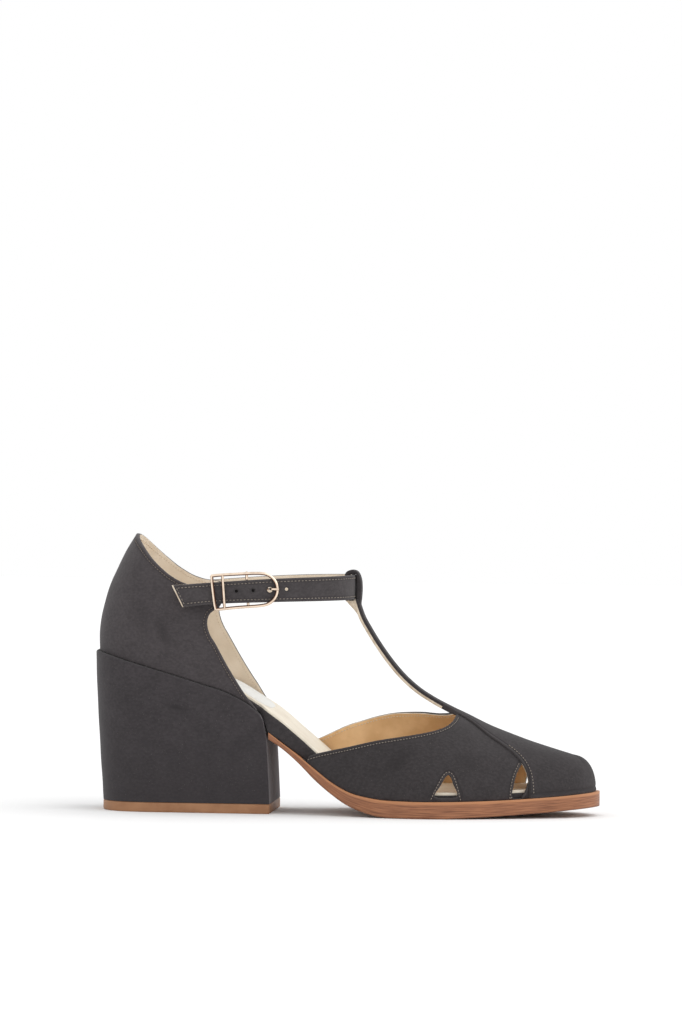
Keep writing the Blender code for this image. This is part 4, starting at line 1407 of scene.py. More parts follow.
@dataclass(frozen=True)
class Bottom:
    """Outsole, insole board, sock and the blank pad on it.

    The board runs from the heel onto the sole over lap. The sock and the pad reach sunk into what
    is under them. The pad is round behind over pad_round, and in front it ends in an arc of
    pad_arc, from pad_close on.
    """

    last: Last = Last()
    gap: float = 0.3
    sole_from: float = 40.6
    flat_from: float = 100.0
    flat_to: float = 124.0
    sole_tip_margin: float = 2.8
    board_clear: float = 2.4
    board_back: float = -41.4
    board_round: float = 25.0
    board_half: float = 21.6
    board_square: float = 2.15
    sock_thick: float = 1.0
    sock_inset: float = 0.9
    pad_from: float = -36.0
    pad_to: float = 40.5
    pad_inset: float = 3.6
    pad_thick: float = 0.28
    pad_round: float = 22.0
    pad_arc: float = 3.0
    pad_close: float = 12.0
    sunk: float = 0.1
    lap_from: float = 36.4
    lap: float = 3.6
    under: Table = Table(
        "x z", (39, 36.6), (47, 31.4), (55, 24.8), (63, 17.1), (71, 10.7), (79, 5.6), (87, 2.4),
        (94, 0.7), (100, 0), (124, 0), (135, 0.4), (152, 1.3), (174, 2.9), (198, 4.8),
    )
    margin: Table = Table("x out", (39, 0.3), (60, 1.0), (90, 1.6), (125, 1.9), (198, 2.6))
    board_top: Table = Table(
        "x z", (-44, 79.2), (-31, 75.6), (-12, 70.2), (7, 64.4), (22.5, 59.4), (31.8, 53.9),
        (39.5, 49.0), (47.3, 43.3), (55, 36.9), (63, 30.0), (71, 23.0), (80, 17.0), (92, 12.7),
        (108, 11.2), (125, 11.1), (150, 11.7), (175, 13.1), (198, 14.9),
    )
    waist: Table = Table(
        "x lateral medial", (36.4, 21.6, 21.6), (39.2, 24.4, 22.9), (46, 24.6, 22.3),
        (50, 24.6, 20.6), (54.5, 24.3, 20.4), (58, 24.0, 20.6),
    )

    def outsole(self) -> Shape:
        """The sole: the last's outline with a margin, between its two heights at each station.

        Returns:
            The closed shape.
        """
        tip = self.last.tip + self.sole_tip_margin
        turn = np.arange(1, 41) / 40.35 * np.pi / 2
        toe = self.last.fan + (tip - self.last.fan) * np.sin(turn)
        x = np.concatenate([np.linspace(self.sole_from, self.last.fan, 150), toe])
        out = self.margin.read("out", x)
        under = np.maximum(self.under.read("z", x), 0.0)
        under = np.where((x >= self.flat_from) & (x <= self.flat_to), 0.0, under)
        lateral, medial = (self.last.outline(x, side, out, tip) for side in (-1, 1))
        return Slab(0.9, 0.5).shape(x, lateral, medial, under, self.last.seat.read("z", x))

    def edges(self, x: Array, inset: float) -> tuple[Array, Array]:
        """Lateral and medial edge of the insole board, drawn in by inset.

        Args:
            x: stations.
            inset: how far in from the board's own edge.

        Returns:
            Y of both edges: round at the heel, its own table at the waist, then the last's outline.
        """
        tip = self.last.tip - self.board_clear - inset
        front = [self.last.outline(x, side, -self.board_clear - inset, tip) for side in (-1, 1)]
        waist = [inset - self.waist.read("lateral", x), self.waist.read("medial", x) - inset]
        u = np.clip((x - self.board_back - inset) / self.board_round, 0, 1)
        bow = (1 - (1 - u) ** self.board_square) ** (1 / self.board_square)
        rear = (inset - self.board_half) * bow, (self.board_half - inset) * bow
        first, last = self.waist.columns["x"][0], self.waist.columns["x"][-1]
        pick = [x >= last, x >= first]
        lateral, medial = (np.select(pick, [front[i], waist[i]], rear[i]) for i in (0, 1))
        return lateral, medial

    def stations(self, inset: float) -> Array:
        """Stations of the insole, close together at the heel's round back and at the toe.

        Args:
            inset: how far in from the board's own edge.

        Returns:
            X of the stations, from the back to the toe.
        """
        turn = np.linspace(0.03, np.pi / 2, 26)
        rear = self.board_back + inset + self.board_round * (1 - np.cos(turn))
        tip = self.last.tip - self.board_clear - inset
        toe = self.last.fan + (tip - self.last.fan) * np.sin(np.arange(1, 31) / 30.35 * np.pi / 2)
        front = np.arange(self.lap_from, self.last.fan, 0.9)
        return np.concatenate([rear, np.arange(-15, 36, 1.5), front, toe])

    def board(self) -> Shape:
        """The insole board, which rests on the heel and rounds its front edge onto the sole.

        Returns:
            The closed shape.
        """
        x = self.stations(0.0)
        lateral, medial = self.edges(x, 0.0)
        blend = np.clip((x - self.lap_from) / self.lap, 0, 1)
        on_heel, on_sole = HEEL_RAMP.read("z", x) + 0.1, self.last.seat.read("z", x)
        under = on_heel * (1 - blend) + on_sole * blend
        shape = Slab(1.0, 1.2).shape(x, lateral, medial, under, self.board_top.read("z", x))
        shape.marks["edge"] = np.full(len(shape.points), BARE)
        return shape

    def sock(self) -> Shape:
        """The leather sock on the board.

        Returns:
            The closed shape.
        """
        x = self.stations(self.sock_inset)
        lateral, medial = self.edges(x, self.sock_inset)
        top = self.board_top.read("z", x)
        under, over = top - self.sunk, top + self.gap + self.sock_thick
        return Slab(0.1, 0.45).shape(x, lateral, medial, under, over)

    def pad(self) -> Shape:
        """The blank heel pad, a thin layer on the sock whose front end is a shallow arc.

        Returns:
            The closed shape.
        """
        turn = np.linspace(0, np.pi / 2, 24)
        rear = self.pad_from + self.pad_round * (1 - np.cos(turn[1:]))
        front = self.pad_to - self.pad_arc * (1 - np.sin(turn[:-1]))
        x = np.concatenate([rear, np.arange(-13, 36.5, 1.5), front])
        lateral, medial = self.edges(np.minimum(x, 30.0), self.pad_inset)
        front = np.clip((x - self.pad_to + self.pad_close) / (self.pad_close + 0.01), 0, 1)
        back = np.clip((self.pad_from + self.pad_round - x) / (self.pad_round + 0.01), 0, 1)
        close = np.sqrt(1 - back**2) * (1 - 0.55 * front**5)
        top = self.board_top.read("z", x) + self.gap + self.sock_thick
        lateral, medial = lateral * close, medial * close
        return Slab(0.05, 0.2).shape(x, lateral, medial, top - self.sunk, top + self.pad_thick)


@dataclass(frozen=True)
class AnkleStrap:
    """Ankle strap, from its slanted tail round the ankle's front to the inner side of the heel.

    Its row of holes has one for the prong and others a pitch apart. Raw edges show at the tail and
    outside the box from covered_low to covered_high. tail_inset is that of the stitches there.
    """

    thread: Thread = Thread(pitch=1.7, length=1.15)
    thick: float = 2.2
    front: float = 78.5
    bend_from: float = 28.0
    side_lateral: float = 27.3
    side_medial: float = 25.6
    power: float = 2.4
    tail: float = -3.6
    slant: float = -0.49
    slant_over: float = 16.0
    medial_end: float = -9.0
    prong_at: float = 40.9
    hole_pitch: float = 8.0
    hole: float = 0.85
    prong_hole: float = 1.4
    hole_rise: float = 0.4
    bulge: float = 0.2
    inset: float = 1.5
    tail_inset: float = 1.7
    stations: int = 360
    thread_over: float = 0.03
    hole_shade: float = 1.5
    covered_low: Triple = (2.5, -60.0, 0.0)
    covered_high: Triple = (100.0, 60.0, 200.0)
    rise: Table = Table(
        "run middle half", (-8, 103.1, 5.2), (13, 105.1, 5.2), (43, 106.9, 5.6), (78, 108.1, 5.9),
    )

    def line(self) -> Array:
        """Middle line in plan: straight at the sides, a superellipse in front.

        Returns:
            X and Y of its points, from the tail round the front to the inner end.
        """
        turn = np.linspace(0, np.pi / 2, 200)
        bend = np.stack([np.sin(turn), np.cos(turn)], -1) ** (2 / self.power)
        x = self.bend_from + (self.front - self.bend_from) * bend[:, 0]
        lateral = np.stack([x, -self.side_lateral * bend[:, 1]], -1)
        medial = np.stack([x, self.side_medial * bend[:, 1]], -1)[::-1]
        ends = [(self.tail, -self.side_lateral)], [(self.medial_end, self.side_medial)]
        dense = np.vstack([ends[0], lateral, medial[1:], ends[1]])
        return resample(dense, np.linspace(0, run_length(dense)[-1], self.stations))

    def hole_place(self, step: int) -> tuple[float, float]:
        """Gives x and z of the hole that lies so many pitches from the prong's."""
        x = self.prong_at + step * self.hole_pitch
        return x, float(self.rise.read("middle", x)) + self.hole_rise

    def face(self, away: float, across: Array, margin: float = 0.0) -> tuple[Array, Array]:
        """Points of the strap at a distance from its middle face.

        Args:
            away: distance out of the middle face.
            across: places across the strap, -1 at its lower and 1 at its upper edge.
            margin: how far the edges are drawn in.

        Returns:
            The grid of points and the outward direction at each station.
        """
        line = self.line()
        heading = unit(np.gradient(line, axis=0))
        out = np.stack([heading[:, 1], -heading[:, 0]], -1)
        middle = self.rise.read("middle", line[:, 0])[:, None]
        half = self.rise.read("half", line[:, 0])[:, None]
        fade = np.clip(1 - run_length(line) / self.slant_over, 0, 1)[:, None]
        x = line[:, :1] + out[:, :1] * away + self.slant * fade * across * half + fade**8 * margin
        y = line[:, 1:] + out[:, 1:] * away + 0 * across
        z = middle + across * (half - margin)
        return np.stack([x, y, z], -1), np.column_stack([out, np.zeros(len(out))])

    def shape(self) -> Shape:
        """The strap as a sheet with its row of holes.

        Returns:
            The closed sheet, with a raw edge at the tail.
        """
        across = np.linspace(-1, 1, 27)[None]
        outer, _ = self.face(self.thick / 2, across, self.bulge)
        inner, _ = self.face(-self.thick / 2, across, self.bulge)
        near = np.full(outer.shape[:2], 8.0)
        for step in (-2, -1, 0, 1):
            x, z = self.hole_place(step)
            radius = self.prong_hole if step == 0 else self.hole
            away = np.hypot(outer[..., 0] - x, outer[..., 2] - z) - radius
            near = np.where(outer[..., 1] < 0, np.minimum(near, away), near)
        half = self.rise.read("half", outer[..., 0])
        # Adding hole_shade puts the nubuck's painted trough shade round each hole's rim.
        edge = np.minimum((1 - np.abs(across)) * half, near + self.hole_shade)
        shape = sheet(outer, inner, near - 0.12, {"edge": edge}, self.bulge, turned=2)
        for block, zone in zip(shape.polygons, shape.zones):
            zone[(shape.uv[block][..., 0].mean(1) < 0.5) & (zone == Zone.OUTSIDE)] = Zone.EDGE
        return shape.cover_edges(self.covered_low, self.covered_high)

    def hole_ends(self) -> Shape:
        """Ends of the two free holes next to the tail, which don't show through: discs in the
        nubuck's darker copy, painted shade on the leather that lies under the holes.

        Returns:
            The two discs as one shape.
        """
        ends = []
        for step in (-2, -1):
            x, z = self.hole_place(step)
            y = -self.side_lateral + self.thick / 2
            turn = np.arange(16) * np.pi / 8
            ring = np.stack([np.cos(turn), 0 * turn, np.sin(turn)], -1) * (self.hole + 0.15)
            ends.append(loft(np.array([ring + (x, y + depth, z) for depth in (-0.35, 0.02)])))
        return ends[0].join(ends[1])

    def seams(self) -> Shape:
        """Sews both long edges and the slanted tail.

        Returns:
            The stitches.
        """
        rows, away = [], self.thick / 2 + self.thread_over
        for across in (-1.0, 1.0):
            grid, out = self.face(away, np.array([[across]]), self.inset)
            rows.append(self.thread.row(grid[3:-2, 0], out[3:-2]))
        cross = np.linspace(-0.78, 0.78, 12)[None]
        grid, out = self.face(away, cross)
        for end in (0, -1):
            line = grid[end] + (self.tail_inset, 0, 0)
            rows.append(self.thread.row(line, np.tile(out[end], (cross.size, 1))))
        return rows[0].join(*rows[1:])


@dataclass(frozen=True)
class Buckle:
    """Rose-gold wire buckle with its keeper bar, hidden bar, prong and leather tab.

    The bars are thinner than the frame by the shares keeper_part and hidden_part, and the hidden
    one bends in hidden_bend before hidden_y. The tab thins out over tab_thin at its ends.
    """

    wire: float = 0.75
    keeper_part: float = 0.94
    hidden_part: float = 0.9
    hidden_bend: float = 1.2
    prong_wire: float = 0.6
    plane: float = -29.5
    turn: float = 0.03
    hidden_y: float = -24.9
    prong_height: float = 107.6
    tab_from: float = 4.0
    tab_to: float = 28.6
    tab_half: float = 4.2
    tab_height: float = 104.8
    tab_inner: float = -24.3
    tab_thick: float = 1.5
    tab_thin: float = 1.2
    tab_clear: float = 0.3
    frame_line: Corners = (
        (15.2, 98.2), (14.0, 105.6), (13.3, 112.6), (14.2, 113.6), (25.0, 114.5), (36.0, 115.0),
        (40.6, 114.0), (43.6, 111.2), (44.6, 107.6), (43.8, 104.0), (41.2, 101.1), (37.0, 99.7),
        (26.0, 98.7), (16.6, 97.7),
    )
    keeper: Corners = ((18.3, 113.9), (19.5, 98.1))
    hidden: Corners = ((29.4, 114.8), (30.3, 99.1))
    prong_line: Corners = (
        (31.2, -24.3), (35.0, -24.0), (38.6, -24.4), (40.6, -26.2), (41.4, -28.4), (42.8, -30.0),
        (45.6, -30.4),
    )

    def on_plane(self, line: Array) -> Array:
        """Puts side-view points in the buckle's plane, which turns a little to follow the strap."""
        x, z = np.asarray(line, float).T
        return np.stack([x, self.plane + (x - self.frame_line[0][0]) * self.turn, z], -1)

    def frame(self) -> Shape:
        """The frame's wire, the keeper bar over the strap and the hidden bar under it.

        Returns:
            The three wires as one shape.
        """
        line = self.on_plane(rounded(self.frame_line, 10, closed=True))
        ring = tube(line, self.wire, 16, closed=True)
        share = np.linspace(0, 1, 12)[:, None]
        bar = np.array(self.keeper[0]) * (1 - share) + np.array(self.keeper[1]) * share
        keeper = tube(self.on_plane(bar), self.wire * self.keeper_part, 16)
        (top_x, top_z), (low_x, low_z) = self.hidden
        y, out = self.hidden_y, self.hidden_y - self.hidden_bend
        top, low = self.on_plane(self.hidden)
        upper = [top, (top_x, out, top_z), (top_x, y, top_z - 1)]
        lower = [(low_x, y, low_z + 1), (low_x, out, low_z), low]
        hidden = tube(rounded(upper + lower, 8), self.wire * self.hidden_part, 12)
        return ring.join(keeper, hidden)

    def prong(self) -> Shape:
        """The prong, from the hidden bar out through the strap's hole onto the frame's round end.

        Returns:
            The closed shape.
        """
        line = rounded(self.prong_line, 10)
        points = np.column_stack([line, np.full(len(line), self.prong_height)])
        share = np.linspace(0, 1, len(points))
        return tube(points, self.prong_wire * (1.12 - 0.22 * share**3), 16)

    def tab(self) -> Shape:
        """The leather tab that holds the hidden bar on the rear upper.

        Returns:
            The closed sheet.
        """
        x = np.linspace(self.tab_from + self.tab_clear, self.tab_to - self.tab_clear, 40)[:, None]
        across = np.linspace(-1, 1, 13)[None]
        thin = np.clip(np.minimum(x - self.tab_from, self.tab_to - x) / self.tab_thin, 0.35, 1)
        z = self.tab_height + across * (self.tab_half - self.tab_clear) + 0 * x
        outer = np.stack([x + 0 * across, self.tab_inner - self.tab_thick * thin + 0 * z, z], -1)
        inner = np.stack([x + 0 * across, self.tab_inner + 0 * z, z], -1)
        return sheet(outer, inner, None, {"edge": (1 - np.abs(across)) * self.tab_half + 0 * x})


def tone(red: float, green: float, blue: float) -> Colour:
    """Gives the linear colour of an sRGB tone, whose parts run from 0 to 255.

    Args:
        red: red part.
        green: green part.
        blue: blue part.

    Returns:
        The colour, with an alpha of 1.
    """
    share = np.array([red, green, blue]) / 255
    linear = np.where(share <= 0.04045, share / 12.92, ((share + 0.055) / 1.055) ** 2.4)
    return (float(linear[0]), float(linear[1]), float(linear[2]), 1.0)


def shaded(colour: Colour, factor: float) -> Colour:
    """Multiplies a linear colour and keeps its alpha at 1."""
    return tuple(part * factor for part in colour[:3]) + (1.0,)


@dataclass(frozen=True)
class Patches:
    """Where a second tone shows: noise of a size in millimetres, cut from low to high."""

    size: float
    detail: float
    low: float
    high: float
    strength: float = 1.0
    stretch: Triple = (1.0, 1.0, 1.0)


class Graph:
    """A material's node tree and the few kinds of node that the finishes are made of."""

    def __init__(self, name: str, roughness: float, specular: float) -> None:
        """Starts a material with its uniform values on the shader itself.

        Args:
            name: the material's name.
            roughness: the shader's roughness.
            specular: its specular level.
        """
        self.material = bpy.data.materials.new(name)
        self.material.use_nodes = True
        self.tree = self.material.node_tree
        self.shader = self.tree.nodes["Principled BSDF"]
        self.set(roughness, "Roughness")
        self.set(specular, "Specular IOR Level")

    def give(self, socket: Socket, value: Value) -> None:
        """Links a socket to its value, or sets the value on it.

        Args:
            socket: the input.
            value: a number, a colour or another node's socket.
        """
        if isinstance(value, Socket):
            self.tree.links.new(value, socket)
        else:
            socket.default_value = value

    def set(self, value: Value, name: str) -> None:
        """Puts a number, a colour or another node's socket on an input of the shader."""
        self.give(self.shader.inputs[name], value)

    def node(self, kind: str, inputs: dict, output: int | str = 0, **options: str) -> Socket:
        """Adds a node.

        Args:
            kind: the last part of its type's name.
            inputs: values by the name or number of the input.
            output: name or number of the output.
            options: its settings.

        Returns:
            The output.
        """
        node = self.tree.nodes.new(f"ShaderNode{kind}")
        for option, value in options.items():
            setattr(node, option, value)
        for place, value in inputs.items():
            self.give(node.inputs[place], value)
        return node.outputs[output]

    def noise(self, size: float, detail: float = 2.0, stretch: Triple = (1.0, 1.0, 1.0)) -> Socket:
        """Noise in object space, whose waves have a size in mm that stretch lengthens by axis."""
        return self.cloud("Object", tuple(1000 / size / part for part in stretch), detail)

    def strata(self, along: float, lines: float) -> Socket:
        """Noise in lines so many mm long, so many of them over each other in the edge's height."""
        return self.cloud("UV", (1 / along, lines, 1.0), 3.0)

    def cloud(self, map_name: str, scale: tuple, detail: float) -> Socket:
        """Noise on one of the piece's maps, with a scale for each of its axes."""
        place = self.node("Mapping", {"Vector": self.map_socket(map_name), "Scale": scale})
        return self.node("TexNoise", {"Vector": place, "Scale": 1.0, "Detail": detail})

    def map_socket(self, name: str) -> Socket:
        """Gives one of the piece's maps as a vector: Object, or UV for the map of sizes."""
        return self.node("TexCoord", {}, name)

    def part(self, vector: Socket, axis: str) -> Socket:
        """Gives the X, Y or Z of a vector."""
        return self.node("SeparateXYZ", {0: vector}, axis)

    def place(self, axis: str) -> Socket:
        """Gives the place along one axis of object space, in metres."""
        return self.part(self.map_socket("Object"), axis)

    def mark(self, name: str) -> Socket:
        """Gives a number that the mesh keeps for each point."""
        return self.node("Attribute", {}, "Fac", attribute_name=name)

    def math(self, operation: str, first: Value, second: Value = 0.0) -> Socket:
        """Does one sum."""
        return self.node("Math", {0: first, 1: second}, operation=operation)

    def times(self, value: Value, factor: Value) -> Socket:
        """Multiplies a value."""
        return self.math("MULTIPLY", value, factor)

    def ramp(self, value: Value, low: float, high: float, to: tuple = (0.0, 1.0)) -> Socket:
        """Carries the range from low to high smoothly onto another, and holds values to it."""
        ends = dict(enumerate((value, low, high, *to)))
        return self.node("MapRange", ends, interpolation_type="SMOOTHSTEP")

    def mix(self, share: Value, first: Value, second: Value) -> Socket:
        """Blends two colours by the share of the second."""
        return self.node("Mix", {0: share, 6: first, 7: second}, 2, data_type="RGBA")

    def blend(self, patches: Patches, first: Value, second: Value) -> Socket:
        """Shows a second colour in patches.

        Args:
            patches: where it shows, and how strongly.
            first: first colour.
            second: second colour.

        Returns:
            The blend.
        """
        noise = self.noise(patches.size, patches.detail, patches.stretch)
        share = self.ramp(noise, patches.low, patches.high)
        if patches.strength < 1:
            share = self.times(share, patches.strength)
        return self.mix(share, first, second)

    def relief(self, height: Socket, depth: float) -> None:
        """Bumps the shader's normal by a height of 0 to 1, as deep as depth in millimetres.

        Args:
            height: the height.
            depth: its full depth. A second call adds a second bump under the first.
        """
        node = self.tree.nodes.new("ShaderNodeBump")
        node.inputs["Distance"].default_value = depth * MM
        self.give(node.inputs["Height"], height)
        normal = self.shader.inputs["Normal"]
        if normal.is_linked:
            self.give(node.inputs["Normal"], normal.links[0].from_socket)
        self.give(normal, node.outputs["Normal"])


@dataclass(frozen=True)
class Nubuck:
    """Charcoal nubuck: a brushed nap with clouds, pale specks of dust, and painted shade in its sewn
    trough and in the troughs of creases.

    The trough lies that far from an edge. low paints shade on the block, darker towards the floor up
    to low_height, in metres, and breast paints light on its breast. The dark nap tone is also the
    tone of that painted shade. The dark and light nap factors and those of the painted breast light
    and the painted crease shade multiply the colour.
    """

    colour: Triple = (66, 61.5, 63)
    dust: Triple = (140, 134, 128)
    rubbed: Triple = (92, 87, 86)
    cloud: float = 0.15
    nap: float = 0.07
    trough: float = 1.5
    sheen: float = 0.10
    low: float = 0.0
    low_height: float = 0.075
    breast: float = 0.0
    dark_nap_and_shade: float = 0.72
    nap_light: float = 1.34
    breast_painted_light: float = 5.6
    crease_shade: float = 0.55
    clouds: Patches = Patches(9, 3, 0.35, 0.65)
    wide_clouds: Patches = Patches(27, 2, 0.35, 0.65, 0.4)
    strokes: Patches = Patches(1.1, 4, 0.3, 0.72, 1.0, (1.5, 1.0, 1.0))
    specks: Patches = Patches(0.42, 1, 0.72, 0.80, 0.3)

    def material(self, name: str) -> Material:
        """Makes the finish.

        Args:
            name: the material's name.

        Returns:
            The material.
        """
        g = Graph(name, 0.92, 0.18)
        base = tone(*self.colour)
        dark, light = shaded(base, 1 - self.cloud), shaded(base, 1 + self.cloud)
        dark_nap_and_shade, nap_light = shaded(base, self.dark_nap_and_shade), shaded(base, self.nap_light)
        colour = g.blend(self.wide_clouds, g.blend(self.clouds, dark, light), dark)
        colour = g.mix(0.45, colour, g.blend(self.strokes, dark_nap_and_shade, nap_light))
        # Painted light on the heel's breast, which faces the light.
        colour = g.mix(g.times(g.mark("breast"), self.breast), colour, shaded(base, self.breast_painted_light))
        # Painted shade in the troughs of the creases.
        colour = g.mix(g.times(g.mark("crease_shade"), 0.8), colour, shaded(base, self.crease_shade))
        # Painted shade on the heel's block, darker towards the floor.
        lowest = g.ramp(g.place("Z"), 0.0, self.low_height, (self.low, 0.0))
        colour = g.blend(self.specks, g.mix(lowest, colour, dark_nap_and_shade), tone(*self.dust))
        edge = g.mark("edge")
        # Painted shade along the sewn trough. The same mask also dips the bump below.
        seam = g.math("ABSOLUTE", g.math("SUBTRACT", edge, self.trough))
        in_seam = g.ramp(seam, 0.3, 0.9, (1.0, 0.0))
        colour = g.mix(g.times(in_seam, 0.6), colour, dark_nap_and_shade)
        worn = g.times(g.ramp(edge, 0.15, 0.7, (1.0, 0.0)), g.noise(2.2, 3))
        colour = g.mix(g.times(worn, 0.3), colour, tone(*self.rubbed))
        g.set(colour, "Base Color")
        g.set(self.sheen, "Sheen Weight")
        g.set(0.6, "Sheen Roughness")
        g.relief(g.noise(0.6, 5), self.nap)
        g.relief(g.noise(3.2, 3), 0.10)
        g.relief(g.math("SUBTRACT", 1.0, in_seam), 0.16)
        return g.material


@dataclass(frozen=True)
class Leather:
    """Smooth leather with a fine grain, for linings, raw edges, sock, pad and top piece."""

    colour: Triple
    shade: Triple
    roughness: float = 0.6
    cloud_size: float = 14.0
    grain_size: float = 0.6
    grain: float = 0.05
    scuffs: Patches = Patches(1.6, 3, 0.62, 0.8, 0.35, (6.0, 1.0, 1.0))

    def material(self, name: str) -> Material:
        """Makes the finish, a blend of its two tones with pores and fine scuffs.

        Args:
            name: the material's name.

        Returns:
            The material.
        """
        g = Graph(name, self.roughness, 0.3)
        shade, colour = tone(*self.shade), tone(*self.colour)
        clouded = g.blend(Patches(self.cloud_size, 4, 0.3, 0.7), shade, colour)
        g.set(g.blend(self.scuffs, clouded, shade), "Base Color")
        g.relief(g.noise(self.grain_size, 4), self.grain)
        g.relief(g.noise(4.0, 2), 0.08)
        return g.material


@dataclass(frozen=True)
class SoleEdge:
    """Stained and waxed edge of stacked leather, read from the map of sizes."""

    dark: Triple = (104, 62, 42)
    light: Triple = (168, 114, 80)
    top: Triple = (184, 128, 88)
    stain: Triple = (134, 90, 66)
    foot: Triple = (96, 64, 50)
    roughness: float = 0.5
    line_length: float = 12.0
    line_count: float = 15.0
    blotches: Patches = Patches(7, 3, 0.35, 0.7, 0.3)

    def material(self, name: str) -> Material:
        """Makes the finish.

        Args:
            name: the material's name.

        Returns:
            The material, with fine lines along the edge and a lighter line on top.
        """
        g = Graph(name, self.roughness, 0.35)
        lines = g.strata(self.line_length, self.line_count)
        colour = g.mix(g.ramp(lines, 0.2, 0.75), tone(*self.dark), tone(*self.light))
        colour = g.blend(self.blotches, colour, tone(*self.stain))
        level = g.part(g.map_socket("UV"), "Y")
        colour = g.mix(g.times(g.ramp(level, 0.78, 0.9), 0.75), colour, tone(*self.top))
        colour = g.mix(g.ramp(level, 0.0, 0.10, (0.5, 0.0)), colour, tone(*self.foot))
        g.set(colour, "Base Color")
        g.relief(lines, 0.10)
        g.relief(g.noise(0.7, 4), 0.05)
        return g.material


@dataclass(frozen=True)
class RoseGold:
    """Polished rose-gold plate with fine scratches, tarnished clouds and a painted dark reflection
    on the inner flank of its wire.

    wire is the radius by which the map's distance round the wire becomes an angle.
    """

    colour: Triple = (247, 226, 204)
    tarnish_and_reflection: Triple = (112, 74, 56)
    roughness: float = 0.13
    wire: float = 0.75

    def material(self, name: str) -> Material:
        """Makes the finish.

        Args:
            name: the material's name.

        Returns:
            The material.
        """
        g = Graph(name, self.roughness, 0.5)
        g.set(1.0, "Metallic")
        turn = g.math("DIVIDE", g.part(g.map_socket("UV"), "Y"), self.wire)
        # Painted dark reflection on the inner flank of the wire. The clouds below are tarnish.
        flank = g.ramp(g.times(g.math("COSINE", turn), -1.0), 0.0, 0.5)
        cloud = g.times(g.ramp(g.noise(3.0, 4), 0.4, 0.75), 0.3)
        colour = g.mix(g.math("MAXIMUM", flank, cloud), tone(*self.colour), tone(*self.tarnish_and_reflection))
        g.set(colour, "Base Color")
        g.relief(g.noise(0.3, 3, (6.0, 6.0, 1.0)), 0.006)
        return g.material


@dataclass(frozen=True)
class ThreadFinish:
    """Matt grey-beige sewing thread with a twist."""

    colour: Triple = (150, 140, 130)
    shade: Triple = (102, 94, 88)

    def material(self, name: str) -> Material:
        """Makes the finish.

        Args:
            name: the material's name.

        Returns:
            The material.
        """
        g = Graph(name, 0.75, 0.3)
        twist = g.noise(0.22, 2, (0.6, 1.0, 1.6))
        g.set(g.mix(g.ramp(twist, 0.3, 0.7), tone(*self.shade), tone(*self.colour)), "Base Color")
        g.relief(twist, 0.05)
        return g.material


class Finish(Enum):
    """All finishes of the shoe."""

    NUBUCK = Nubuck()
    # Painted light and shade: a darker copy of the nubuck for the heel, with painted shade towards
    # the floor and painted light on the breast.
    HEEL_NUBUCK = Nubuck(colour=(58, 54, 56), low=0.5, breast=0.9)
    # Painted shade: a darker copy of the nubuck, for the front upper, the loop, the board's wrap and
    # the hole ends.
    SHADED_NUBUCK = Nubuck(colour=(55, 51.5, 52.5), cloud=0.1, sheen=0.05)
    STRAP_NUBUCK = Nubuck(colour=(66, 62, 63))
    TAN_LINING = Leather((236, 198, 150), (212, 170, 122))
    CREAM_LINING = Leather((228, 214, 195), (214, 198, 176))
    RAW_EDGE = Leather((224, 210, 190), (190, 172, 150), 0.8, 5.0, 0.4, 0.09)
    SOLE_EDGE = SoleEdge()
    SOLE_UNDER = Leather((172, 130, 98), (138, 98, 72), 0.6)
    TOP_PIECE = Leather((160, 117, 84), (144, 102, 72), 0.55, 9.0)
    SOCK = Leather((228, 220, 204), (216, 206, 188))
    PAD = Leather((223, 223, 219), (214, 213, 208), 0.5, 20.0)
    METAL = RoseGold()
    THREAD = ThreadFinish()
    DARK_THREAD = ThreadFinish((124, 112, 102), (84, 77, 72))
    LINING_THREAD = ThreadFinish((224, 208, 186), (196, 178, 154))

    def make(self) -> Material:
        """Gives the finish as a material, made at its first use."""
        name = f"{self.name.lower()}_finish"
        return bpy.data.materials.get(name) or self.value.material(name)


